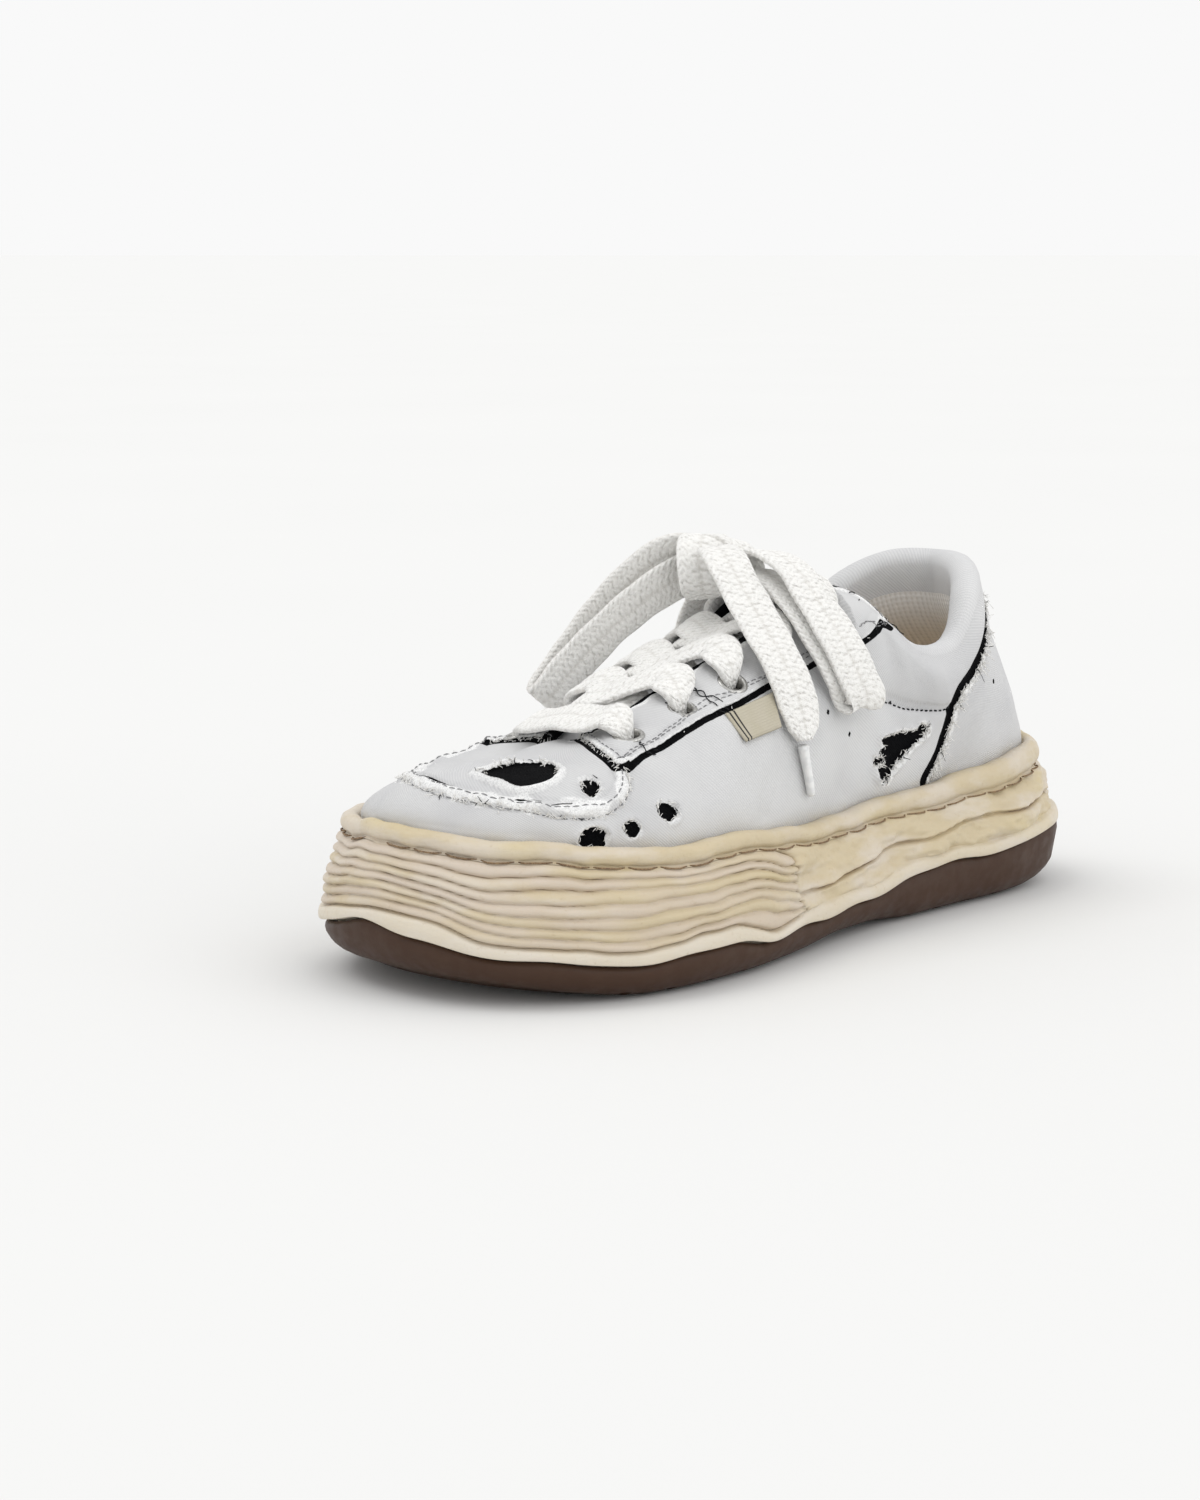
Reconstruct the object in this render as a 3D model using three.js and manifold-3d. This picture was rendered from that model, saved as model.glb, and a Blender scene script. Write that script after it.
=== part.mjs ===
// A left low-top canvas sneaker on a thick sculpted sole: brown rubber cup outsole, cream layered midsole
// with a stitched lip, hollow canvas upper with a padded collar, tongue, insole, ten metal eyelets, flat
// laces tied in a bow, and a small folded side label.
// Millimetres. +X points to the toe, +Y to the outer (little toe) side, +Z up. The origin is on the floor,
// in the middle of the sole.
import * as THREE from "three";
import { mergeVertices } from "three/addons/utils/BufferGeometryUtils.js";
import Module from "manifold-3d";

const wasm = await Module();
wasm.setup();

// ---------------------------------------------------------------- driving dimensions
const soleLength = 300;
const soleWidth = 125;
const gap = 0.35; // clearance between pieces that meet
const around = 64; // points round every ring of the sole and the upper
const halfRing = around / 2; // ring points from the toe tip to the middle of the heel

const toeSpring = 8; // rise of the underside well past the tip, which itself lifts about 5
const heelSpring = 4.8;
const archLift = 2.2; // the waist of the outsole stands clear of the floor
const outsoleInset = 1.4; // the outsole's side stands this far inside the midsole's flange
const cupFloor = 5.5; // thickness of the outsole under the midsole
const cupWall = 3.6;
const cupBow = 1.6; // how far the cup's side draws in towards the tread
const cupRim = 0.6; // the cup's top edge is rounded by this much
const treadDepth = 1.8; // channels across the tread
const treadWidth = 3.2;
const treadPlaces = [102, 86, 70, 54, 38, -62, -78, -94, -110]; // x of each channel

const lipInset = 6.4; // outer side of the lip, in from the flange
const lipThickness = 6;
const bedHeight = 31; // top of the midsole inside the upper, at the forefoot
const heelBedRise = 4;
const upperInset = lipInset + lipThickness + gap;

const wall = 2.2; // canvas, backing and lining
const collarPad = 6.8; // what the collar's foam adds to the wall
const tongueThickness = 5;
const tongueClearance = 1.3; // between the tongue and the eyestay above it, for the backs of the eyelets
const insoleThickness = 3.5;

const laceWidth = 15;
const laceThickness = 2.6;
const laceRise = 3.9; // middle of a lace above the canvas, over the ring of an eyelet
const laceOverEdge = 3.4; // above the edge of the throat, where a lace climbs over it
const laceOverTongue = 4.8; // above the tongue, in the middle of the shoe
const laceReach = 7.5; // how far past the middle a lace shows before the next one hides it
const laceSlant = [5, 5.9]; // a lace crosses this far towards the toe of its eyelet: middle, then far side
const eyeletHole = 3.2; // radii of one eyelet
const eyeletBarrel = 3.7;
const eyeletFlange = 5.1;
const eyeletRise = 1;
const eyeletSides = 10;

// ---------------------------------------------------------------- small tools
const point = (x, y, z) => new THREE.Vector3(x, y, z);
const up = point(0, 0, 1);
const smooth = (low, high, x) => THREE.MathUtils.smoothstep(x, low, high);

// A smooth curve through hand-set rows [t, value, value, ...]; the columns named odd change sign at t = 0
// and t = 1, the others are mirrored there, so that both halves of the shoe meet without a kink.
function between(rows, t, odd = []) {
  const signed = (v, k) => (odd.includes(k) ? -v : v);
  const flip = (row, about) => row.map((v, k) => (k === 0 ? 2 * about - v : signed(v, k)));
  const all = [flip(rows[1], 0), ...rows, flip(rows.at(-2), 1)];
  let i = 1;
  while (i < all.length - 3 && t > all[i + 1][0]) i++;
  const [a, b, c, d] = all.slice(i - 1, i + 3);
  const s = (t - b[0]) / (c[0] - b[0]);
  return b.slice(1).map((v, k) => {
    const j = k + 1;
    const slopeB = ((c[j] - a[j]) / (c[0] - a[0])) * (c[0] - b[0]);
    const slopeC = ((d[j] - b[j]) / (d[0] - b[0])) * (c[0] - b[0]);
    return (
      (2 * s ** 3 - 3 * s ** 2 + 1) * v +
      (s ** 3 - 2 * s ** 2 + s) * slopeB +
      (-2 * s ** 3 + 3 * s ** 2) * c[j] +
      (s ** 3 - s ** 2) * slopeC
    );
  });
}

// Closed mesh through rings of equal length, listed from the middle of the underside outwards, up and back
// in. With wrap the last ring joins the first, as in a shell that is open above and below.
function loft(rings, wrap = false) {
  const count = rings[0].length;
  const faces = [];
  const quad = (a, b, c, d) => faces.push(a, b, c, a, c, d);
  const last = wrap ? rings.length : rings.length - 1;
  for (let r = 0; r < last; r++)
    for (let i = 0; i < count; i++) {
      const [low, high] = [r * count, ((r + 1) % rings.length) * count];
      quad(low + i, low + ((i + 1) % count), high + ((i + 1) % count), high + i);
    }
  if (!wrap)
    for (const [start, facing] of [[0, -1], [(rings.length - 1) * count, 1]]) {
      const strip = (a, b, c) => (facing > 0 ? faces.push(a, b, c) : faces.push(a, c, b));
      strip(start, start + 1, start + count - 1);
      for (let i = 1; i < count / 2 - 1; i++) {
        strip(start + i, start + i + 1, start + count - i - 1);
        strip(start + i, start + count - i - 1, start + count - i);
      }
      strip(start + count / 2 - 1, start + count / 2, start + count / 2 + 1);
    }
  return geometryFrom(rings.flat(), faces);
}

function geometryFrom(points, faces) {
  const numbers = points.flatMap((p) => p.toArray());
  const geometry = new THREE.BufferGeometry();
  geometry.setAttribute("position", new THREE.Float32BufferAttribute(numbers, 3));
  geometry.setIndex(faces);
  return geometry;
}

function solidOf(geometry) {
  const bare = geometry.clone();
  bare.deleteAttribute("normal");
  bare.deleteAttribute("uv");
  const merged = mergeVertices(bare, 1e-3);
  return new wasm.Manifold(
    new wasm.Mesh({
      numProp: 3,
      vertProperties: merged.attributes.position.array,
      triVerts: new Uint32Array(merged.index.array),
    }),
  );
}

function geometryOf(solid) {
  const mesh = solid.getMesh();
  const geometry = new THREE.BufferGeometry();
  const places = new Float32Array(mesh.vertProperties);
  geometry.setAttribute("position", new THREE.BufferAttribute(places, 3));
  geometry.setIndex(new THREE.BufferAttribute(new Uint32Array(mesh.triVerts), 1));
  return geometry;
}

// ---------------------------------------------------------------- plan of the sole
// Shares of half the length and half the width, from the toe tip round the outer side to the heel and back.
const outlineShares = [
  [1, -0.1], [0.973, 0.29], [0.893, 0.6], [0.767, 0.83], [0.613, 0.96], [0.453, 1],
  [0.253, 0.944], [0.033, 0.84], [-0.2, 0.76], [-0.467, 0.72], [-0.7, 0.696], [-0.853, 0.59],
  [-0.953, 0.36], [-1, -0.016], [-0.953, -0.385], [-0.853, -0.59], [-0.7, -0.688], [-0.467, -0.704],
  [-0.2, -0.712], [0.033, -0.776], [0.253, -0.896], [0.453, -0.984], [0.613, -0.995], [0.767, -0.93],
  [0.893, -0.74], [0.973, -0.45],
];
const outlineCurve = new THREE.CatmullRomCurve3(
  outlineShares.map(([x, y]) => point((x * soleLength) / 2, (y * soleWidth) / 2, 0)),
  true,
  "centripetal",
);
const outline = outlineCurve.getSpacedPoints(around).slice(0, around);
const outward = outline.map((_, i) => {
  const [before, after] = [outline[(i + around - 1) % around], outline[(i + 1) % around]];
  const along = after.clone().sub(before).normalize();
  return point(along.y, -along.x, 0);
});

// Share of the way from the toe tip (0) to the middle of the heel (1), on either side, at ring point i.
const shareAt = (i) => Math.min(i, around - i) / halfRing;

// A level of the sole or upper: the outline moved in by inset, at a height that depends on the place.
function ring(inset, height) {
  return outline.map((p, i) => {
    const place = p.clone().addScaledVector(outward[i], -inset);
    place.z = height(shareAt(i), place.x, i);
    return place;
  });
}

// ---------------------------------------------------------------- heights along the sole
// [share, height]: the wavy edge where the brown cup ends, and the top of the midsole's lip.
const cupEdgeRows = [
  [0, 19.5], [0.1, 18], [0.2, 14.5], [0.3, 13], [0.4, 13.5], [0.5, 11], [0.6, 14.5], [0.72, 19],
  [0.86, 19.5], [1, 20.5],
];
const lipTopRows = [
  [0, 51], [0.12, 49.5], [0.22, 46.5], [0.34, 44], [0.46, 41.5], [0.58, 41.5], [0.72, 45],
  [0.86, 49.5], [1, 52],
];
const cupEdge = (share) => between(cupEdgeRows, share)[0];
const lipTop = (share) => between(lipTopRows, share)[0];
const bed = (x) => bedHeight + heelBedRise * (1 - smooth(-60, 30, x));
const underside = (x) =>
  toeSpring * smooth(88, 165, x) +
  heelSpring * (1 - smooth(-160, -108, x)) +
  archLift * smooth(-52, -22, x) * (1 - smooth(-8, 24, x));

// Heights of a ring: above the underside, above the cup's edge, and below the top of the lip.
const level = (z) => (share, x) => underside(x) + z;
const fromEdge = (dz) => (share) => cupEdge(share) + dz;
const fromLip = (dz) => (share) => lipTop(share) + dz;
const bandShare = (part) => (share) => cupEdge(share) + part * (lipTop(share) - cupEdge(share));

// ---------------------------------------------------------------- outsole and midsole
function outsole() {
  const wallSide = outsoleInset;
  const body = solidOf(
    loft([
      ring(wallSide + 15, level(0)),
      ring(wallSide + 9, level(0.6)),
      ring(wallSide + 4.6, level(3)),
      ring(wallSide + cupBow, level(7)),
      ring(wallSide, fromEdge(-3)),
      ring(wallSide + cupRim, fromEdge(0)),
      ring(wallSide + cupWall, fromEdge(-cupRim)),
      ring(wallSide + cupWall, level(cupFloor + 2)),
      ring(wallSide + cupWall + 6, level(cupFloor)),
    ]),
  );
  return geometryOf(treadGrooves().reduce((left, groove) => left.subtract(groove), body));
}

// Wavy channels across the tread, at the forefoot and the heel.
function treadGrooves() {
  const steps = 8;
  const reach = soleWidth + 15; // the cutting slab runs out past both sides
  const below = 3; // and starts this far under the tread
  const wave = (k) => 3 * Math.sin((k / steps) * Math.PI * 4);
  const across = (k) => reach * (k / steps - 0.5);
  return treadPlaces.map((x) => {
    const corners = [];
    for (let k = 0; k <= steps; k++) corners.push(new THREE.Vector2(x + wave(k), across(k)));
    for (let k = steps; k >= 0; k--) corners.push(new THREE.Vector2(x + treadWidth + wave(k), across(k)));
    const depth = treadDepth + below;
    const slab = new THREE.ExtrudeGeometry(new THREE.Shape(corners), { depth, bevelEnabled: false });
    slab.translate(0, 0, underside(x) - below);
    return solidOf(slab);
  });
}

// From the cup's floor: up inside the cup, out over its edge, up the side, over the lip and down to the bed.
function midsole() {
  const inside = outsoleInset + cupWall + gap;
  const cup = lipInset + lipThickness;
  return loft([
    ring(inside + 6, level(cupFloor + gap)),
    ring(inside, level(cupFloor + 2 + gap / 2)),
    ring(inside, fromEdge(-cupRim)),
    ring(inside - gap, fromEdge(gap)),
    ring(1, fromEdge(gap + 0.3)),
    ring(0, fromEdge(3)),
    ring(1.6, fromEdge(6.5)),
    ring(1.8, bandShare(0.4)),
    ring(2.6, bandShare(0.6)),
    ring(lipInset, fromLip(-8)),
    ring(lipInset - 0.5, fromLip(-4)),
    ring(lipInset + 1.6, fromLip(-0.8)),
    ring(lipInset + 3.8, fromLip(0)),
    ring(cup, fromLip(-1.6)),
    ring(cup, (share, x) => bed(x)),
  ]);
}

// ---------------------------------------------------------------- upper
// [share, x, y, z] of the edge of the opening on the outer half: throat, end of the eyestay, collar dip,
// heel.
const openingRows = [
  [0, 76, 0, 70], [0.1, 75, 6, 70.5], [0.19, 69, 12, 74], [0.34, 37, 15, 86.5], [0.48, 2, 15.5, 98.5],
  [0.58, -26, 14.5, 108.5], [0.635, -37, 20, 105.5], [0.68, -45, 28.5, 96], [0.735, -57, 34.5, 86.5],
  [0.79, -72, 36, 88.5], [0.855, -87, 31.5, 102.5], [0.93, -102, 19, 111], [1, -111, 0, 112],
];
// [share, rise above the lip, swell there, reach out from the opening, drop there]: the handles of each
// rib.
const ribRows = [
  [0, 12, 2.5, 40, 3.5], [0.12, 13, 2.5, 34, 4.5], [0.2, 16, 2.5, 26, 4.5], [0.3, 19, 2.5, 18, 6],
  [0.48, 24, 2, 17, 9], [0.6, 26, 2.5, 18, 13], [0.69, 20, 3, 9, 14], [0.76, 16, 2, 5, 14],
  [0.84, 16, 0.5, 4.5, 18], [0.92, 15, -2, 4, 20], [1, 14, -3, 3.5, 20],
];
const innerFall = 4; // the inner half of the vamp lies this much lower than the outer one
const innerPull = 0.2; // and its edge of the throat this share closer to the middle
const lipCover = 1.5; // the canvas leaves the midsole this far below the top of the lip

// Ring point i may be a fraction; v runs from the lip (0) to the opening (1), and down to the insole bed
// at -1.
function upperPlace(i, v) {
  const turn = ((i % around) + around) % around;
  const share = shareAt(turn);
  const k = Math.floor(turn);
  const mix = (list) => list[k].clone().lerp(list[(k + 1) % around], turn - k);
  const out = mix(outward);
  const low = mix(outline).addScaledVector(out, -upperInset);
  low.z = lipTop(share) - lipCover;
  if (v < 0) return low.setZ(low.z + v * (low.z - bed(low.x) - gap));
  const [x, y, z] = between(openingRows, share, [2]);
  const [rise, swell, reach, drop] = between(ribRows, share);
  const lean = turn > halfRing ? smooth(0, 0.16, share) * (1 - smooth(0.45, 0.62, share)) : 0;
  const fall = innerFall * lean;
  const top = point(x, (turn > halfRing ? -y : y) * (1 - innerPull * lean), z - fall);
  const rib = new THREE.CubicBezierCurve3(
    low,
    low.clone().addScaledVector(out, swell).addScaledVector(up, rise - fall),
    top.clone().addScaledVector(out, reach).addScaledVector(up, -drop - fall),
    top,
  );
  return rib.getPoint(v);
}

function upperNormal(i, v) {
  const [va, vb] = [v - 0.02, Math.min(1, v + 0.02)];
  const alongRing = upperPlace(i + 0.4, v).sub(upperPlace(i - 0.4, v));
  const alongRib = upperPlace(i, vb).sub(upperPlace(i, va));
  return alongRing.cross(alongRib).normalize();
}

// Wall thickness: thin canvas, thick foam round the collar.
const wallAt = (i, v) =>
  wall + collarPad * smooth(0.63, 0.7, shareAt(((i % around) + around) % around)) * smooth(0.45, 0.8, v);

function upper() {
  const steps = [-1, 0, 0.17, 0.34, 0.5, 0.66, 0.78, 0.89, 1];
  const numbers = outline.map((_, i) => i);
  const lined = (i, v) => upperPlace(i, v).addScaledVector(upperNormal(i, v), -wallAt(i, v));
  const outer = steps.map((v) => numbers.map((i) => upperPlace(i, v)));
  const inner = steps.map((v) => numbers.map((i) => lined(i, v)));
  // the rounded rim: half a circle from the outer edge over to the inner one
  const rim = [45, 90, 135].map((degrees) => {
    const turn = THREE.MathUtils.degToRad(degrees);
    return numbers.map((i) => {
      const radius = wallAt(i, 1) / 2;
      const normal = upperNormal(i, 1);
      const along = upperPlace(i, 1).sub(upperPlace(i, 0.97)).normalize();
      return upperPlace(i, 1)
        .addScaledVector(normal, -radius + radius * Math.cos(turn))
        .addScaledVector(along, radius * Math.sin(turn));
    });
  });
  return loft([...outer, ...rim, ...inner.reverse()], true);
}

// ---------------------------------------------------------------- eyelets
// ring points of the five eyelets on the outer side; the inner side mirrors them
const eyeletShares = [0.22, 0.305, 0.39, 0.475, 0.555];
const eyeletRib = 0.78;
const sides = { outer: 1, inner: -1 };
const ringPoint = (share, sign) => (sign > 0 ? share * halfRing : around - share * halfRing);

function eyeletFrame(share, sign) {
  const i = ringPoint(share, sign);
  const place = upperPlace(i, eyeletRib);
  const normal = upperNormal(i, eyeletRib);
  return { place, normal, turn: new THREE.Quaternion().setFromUnitVectors(up, normal) };
}

function eyelet() {
  const [back, front] = [-wall - gap, gap + eyeletRise];
  const profile = [
    [eyeletHole, back], [eyeletBarrel, back], [eyeletBarrel, gap], [eyeletFlange, gap],
    [eyeletFlange - 0.8, front], [eyeletHole, front], [eyeletHole, back],
  ].map(([r, z]) => new THREE.Vector2(r, z));
  return new THREE.LatheGeometry(profile, eyeletSides).rotateX(Math.PI / 2);
}

function upperWithHoles() {
  const through = 14; // length of the cutting cylinder
  const radius = eyeletBarrel + gap;
  let body = solidOf(upper());
  for (const share of eyeletShares)
    for (const sign of Object.values(sides)) {
      const { place, turn } = eyeletFrame(share, sign);
      const drill = new THREE.CylinderGeometry(radius, radius, through, eyeletSides);
      drill.rotateX(Math.PI / 2).applyQuaternion(turn).translate(...place.toArray());
      body = body.subtract(solidOf(drill));
    }
  return geometryOf(body);
}

// ---------------------------------------------------------------- tongue and insole
// Where the tongue lies under the eyestays its edges follow the upper's own inner surface:
// [ring share, crown height].
const tongueRows = [[0.2, 69], [0.3, 78], [0.4, 86.5], [0.5, 94.5], [0.57, 101.5]];
const tongueRibs = [0.66, 0.78, 0.89];
// The rest is free: [x, crown height, half width, drop at the side], under the vamp and above the throat.
const tongueRoot = [[92, 57.5, 14, 3], [80, 62, 19, 5]];
const tongueTip = [[-33, 109, 14.5, 4.5], [-38, 113.5, 12.5, 4]];
const tongueAcross = [-1, -0.8, -0.55, -0.28, 0, 0.28, 0.55, 0.8, 1]; // points of a row, as shares
const tongueMiddle = 4; // the middle one of them
const tongueThinning = 0.6; // what the edges lose of the thickness

function tongue() {
  const free = ([x, crown, wide, drop]) =>
    tongueAcross.map((k) => point(x, -k * wide, crown - drop * k * k));
  const held = ([share, crown]) => {
    const under = (sign) =>
      tongueRibs.map((v) => {
        const i = ringPoint(share, sign);
        return upperPlace(i, v).addScaledVector(upperNormal(i, v), -wall - tongueClearance);
      });
    const [outer, inner] = [under(1), under(-1).reverse()];
    const x = (outer.at(-1).x + inner[0].x) / 2;
    const middle = [point(x, 7, crown - 1), point(x, 0, crown), point(x, -7, crown - innerFall / 2)];
    return [...outer, ...middle, ...inner];
  };
  const tops = [...tongueRoot.map(free), ...tongueRows.map(held), ...tongueTip.map(free)];
  return sectionLoft(tops.map((row, s) => [...row, ...tongueUnderside(tops, row, s)]));
}

// The underside of row s, listed back from the last point of its top.
function tongueUnderside(tops, row, s) {
  const [ahead, behind] = [tops[Math.min(s + 1, tops.length - 1)], tops[Math.max(s - 1, 0)]];
  const along = ahead[tongueMiddle].clone().sub(behind[tongueMiddle]).normalize();
  const last = row.length - 1;
  return [...row.keys()].reverse().map((k) => {
    const across = row[Math.min(k + 1, last)].clone().sub(row[Math.max(k - 1, 0)]).normalize();
    const down = along.clone().cross(across).normalize();
    if (down.z > 0) down.negate();
    const fromMiddle = Math.abs(k - tongueMiddle) / tongueMiddle;
    return row[k].clone().addScaledVector(down, tongueThickness * (1 - tongueThinning * fromMiddle ** 2));
  });
}

// Closed mesh through small closed sections, with flat fans at both ends.
function sectionLoft(sections) {
  const count = sections[0].length;
  const points = sections.flat();
  const faces = [];
  for (let s = 0; s < sections.length - 1; s++)
    for (let k = 0; k < count; k++) {
      const [a, b] = [s * count + k, s * count + ((k + 1) % count)];
      faces.push(a, b, b + count, a, b + count, a + count);
    }
  for (const [s, facing] of [[0, -1], [sections.length - 1, 1]]) {
    points.push(sections[s].reduce((sum, p) => sum.add(p), point(0, 0, 0)).divideScalar(count));
    for (let k = 0; k < count; k++) {
      const [a, b] = [s * count + k, s * count + ((k + 1) % count)];
      faces.push(...(facing > 0 ? [a, b, points.length - 1] : [b, a, points.length - 1]));
    }
  }
  const geometry = geometryFrom(points, faces);
  const solid = solidOf(geometry);
  return geometryOf(solid.volume() < 0 ? solidOf(turnedInsideOut(geometry)) : solid);
}

function turnedInsideOut(geometry) {
  const turned = geometry.clone();
  const order = [...geometry.index.array];
  for (let i = 0; i < order.length; i += 3)
    [order[i + 1], order[i + 2]] = [order[i + 2], order[i + 1]];
  turned.setIndex(order);
  return turned;
}

function insole() {
  const edge = upperInset + wall + 1.2;
  const rounding = 0.8;
  const overBed = (z) => (share, x) => bed(x) + gap + z;
  return loft([
    ring(edge + 1, overBed(0)),
    ring(edge, overBed(rounding)),
    ring(edge, overBed(insoleThickness - rounding)),
    ring(edge + 1.2, overBed(insoleThickness)),
  ]);
}

// ---------------------------------------------------------------- laces
// Sections of a lace, [across, through] from its middle: rounded where it shows best, flat elsewhere.
const [side, face] = [laceWidth / 2, laceThickness / 2];
const edge = 0.5;
const roundedSection = [
  [side, edge], [side - 1, face], [1 - side, face], [-side, edge],
  [-side, -edge], [1 - side, -face], [side - 1, -face], [side, -edge],
];
const flatSection = [[side, face], [-side, face], [-side, -face], [side, -face]];

// A flat band through [x, y, z] rows; across is the direction of its width at the start and at the end.
function band(rows, acrossStart, acrossEnd, steps, section = roundedSection) {
  const places = rows.map((row) => point(...row));
  const path = new THREE.CatmullRomCurve3(places, false, "centripetal");
  const sections = [];
  for (let s = 0; s <= steps; s++) {
    const place = path.getPoint(s / steps);
    const along = path.getTangent(s / steps);
    const across = point(...acrossStart).lerp(point(...acrossEnd), s / steps);
    across.addScaledVector(along, -along.dot(across)).normalize();
    const facing = across.clone().cross(along).normalize();
    const corner = ([a, b]) => place.clone().addScaledVector(across, a).addScaledVector(facing, b);
    sections.push(section.map(corner));
  }
  return sectionLoft(sections);
}

const slope = [1, 0, -0.42]; // along the edge of the throat
const crownAt = (share) => between([[0.1, 64], ...tongueRows, [0.65, 111]], share)[0];

// One lace end of a crossing: from over the tongue, near the far edge of the throat, to the eyelet on this side.
function strand(share, sign) {
  const { place, normal } = eyeletFrame(share, sign);
  const eye = place.clone().addScaledVector(normal, laceRise);
  const near = upperPlace(ringPoint(share, sign), 1).addScaledVector(up, laceOverEdge);
  const middle = point(place.x + laceSlant[0], 0, crownAt(share - 0.02) + laceOverTongue);
  const far = point(place.x + laceSlant[1], -sign * laceReach, middle.z - 1.4);
  return [far, middle, near, eye].map((p) => p.toArray());
}

function crossing(k) {
  const laceEnd = (sign) => solidOf(band(strand(eyeletShares[k], sign), slope, slope, 7, flatSection));
  return geometryOf(laceEnd(sides.outer).add(laceEnd(sides.inner)));
}

function bar() {
  const [outer, inner] = [1, -1].map((side) => eyeletFrame(eyeletShares[0], side));
  const over = (frame) => frame.place.clone().addScaledVector(frame.normal, laceRise).toArray();
  const rows = [over(outer), [74.5, 14, 77], [74, 0, 76.5], [72.5, -12, 74], over(inner)];
  return band(rows, slope, slope, 8, flatSection);
}

// The bow, as lists of places that the middle of the lace passes through.
const knotPlace = [-2, -9, 117];
const knotSize = [8, 7, 7];
const loopOuterRoute = [
  [-8, -0.5, 119.5], [-8.5, 8.5, 121.5], [-8.5, 20.5, 117.5], [-9, 29.5, 107.5], [-11.5, 37.5, 95.5],
  [-15.5, 42, 83.5], [-18, 43, 77.5], [-18.4, 41.4, 74.6], [-17, 39, 76.6], [-13.4, 38.3, 84],
  [-9.4, 34, 93.8], [-7, 26, 104.4], [-7, 16, 111.8], [-7.6, 7, 115], [-8, -0.5, 115],
];
const loopInnerRoute = [
  [-3, -17.8, 120], [4, -21.8, 120.5], [10.5, -28, 115.5], [15.5, -35, 107], [21, -40.5, 97.5],
  [27.5, -43.5, 88.5], [33, -45.5, 81.5], [38, -46.2, 75.5], [40, -45, 73.4], [39, -42.5, 75.5],
  [34.5, -39.5, 82], [27.5, -35.5, 90.5], [20.5, -30.5, 99], [12.5, -24.5, 107], [5, -20, 112],
  [-3, -17.8, 115],
];
const endOuterRoute = [
  [5.5, -0.5, 123.5], [9, 6, 121.8], [11, 15, 112.5], [11.8, 24.5, 102.3], [12, 32.3, 93.2],
  [11.2, 37.4, 84], [10.4, 40.4, 74.4], [10.4, 42, 66.5],
];
const endInnerRoute = [
  [-12, -16, 113], [-15.5, -23.5, 109], [-18, -31, 99], [-18, -35.4, 87], [-17, -37, 77], [-16, -37.6, 68],
];
const aglets = {
  outer: [[10.6, 41.7, 65.2], [8, 43.2, 49]],
  inner: [[-15.8, -37.8, 66.7], [-14.5, -38.2, 50.4]],
};
const agletRadii = [1.5, 1.9]; // tip, and where it grips the lace

function knot() {
  return new THREE.SphereGeometry(1, 12, 8).scale(...knotSize).translate(...knotPlace);
}

function aglet([from, to]) {
  const [start, end] = [point(...from), point(...to)];
  const tip = new THREE.CylinderGeometry(...agletRadii, start.distanceTo(end), 8);
  const along = end.clone().sub(start).normalize();
  const turn = new THREE.Quaternion().setFromUnitVectors(point(0, 1, 0), along);
  return tip.applyQuaternion(turn).translate(...start.lerp(end, 0.5).toArray());
}

// ---------------------------------------------------------------- side label
// A small folded cloth label, sewn under the edge of the eyestay and hanging down the outer side.
const labelCorners = [[39, 33.4, 76.6], [37.3, 40.6, 68.2], [18.6, 38.6, 70.6], [15.6, 32.2, 80.8]];
const labelFacing = point(0.02, 0.82, 0.57);
const labelLift = 0.8; // clear of the canvas
const labelThickness = 1.2;

function sideLabel() {
  const lift = (h) => labelCorners.map((c) => point(...c).addScaledVector(labelFacing, h));
  return sectionLoft([lift(labelLift), lift(labelLift + labelThickness)]);
}

// ---------------------------------------------------------------- the shoe
const material = (color, roughness, metalness = 0) =>
  new THREE.MeshStandardMaterial({ color, roughness, metalness });
const finish = {
  rubber: material(0x4f3a2c, 0.62),
  clay: material(0xe2d5b4, 0.55),
  canvas: material(0xe9eaec, 0.9),
  lining: material(0xe3dccf, 0.95),
  metal: material(0xc9c9c6, 0.3, 1),
  lace: material(0xf2f1ee, 0.9),
  tip: material(0xe4e4e2, 0.25),
  label: material(0xe9dfc6, 0.85),
};

const shoe = new THREE.Group();
function add(name, geometry, look) {
  const mesh = new THREE.Mesh(geometry, look);
  mesh.name = name;
  shoe.add(mesh);
  return mesh;
}

add("outsole", outsole(), finish.rubber);
add("midsole", midsole(), finish.clay);
add("upper", upperWithHoles(), finish.canvas);
add("tongue", tongue(), finish.canvas);
add("insole", insole(), finish.lining);
for (const [sideName, sign] of Object.entries(sides))
  eyeletShares.forEach((share, k) => {
    const { place, turn } = eyeletFrame(share, sign);
    const mesh = add(`eyelet_${sideName}_${k + 1}`, eyelet(), finish.metal);
    mesh.position.copy(place);
    mesh.quaternion.copy(turn);
  });

add("lace_bar", bar(), finish.lace);
for (const k of [1, 2, 3, 4]) add(`lace_cross_${k}`, crossing(k), finish.lace);
add("lace_knot", knot(), finish.lace);
add("lace_loop_outer", band(loopOuterRoute, [1, 0, 0.1], [1, 0, 0.1], 20), finish.lace);
add("lace_loop_inner", band(loopInnerRoute, [0.8, -0.1, 0.6], [0.8, -0.1, 0.6], 20), finish.lace);
add("lace_end_outer", band(endOuterRoute, [1, 0, -0.1], [1, 0, 0.1], 12), finish.lace);
add("lace_end_inner", band(endInnerRoute, [1, 0, 0], [1, 0, 0], 9), finish.lace);
for (const [name, ends] of Object.entries(aglets)) add(`aglet_${name}`, aglet(ends), finish.tip);
add("side_label", sideLabel(), finish.label);

export default shoe;
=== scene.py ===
import math
import random
from functools import partial

import bmesh
import bpy
import numpy as np
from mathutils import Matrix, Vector
from mathutils.bvhtree import BVHTree


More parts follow.
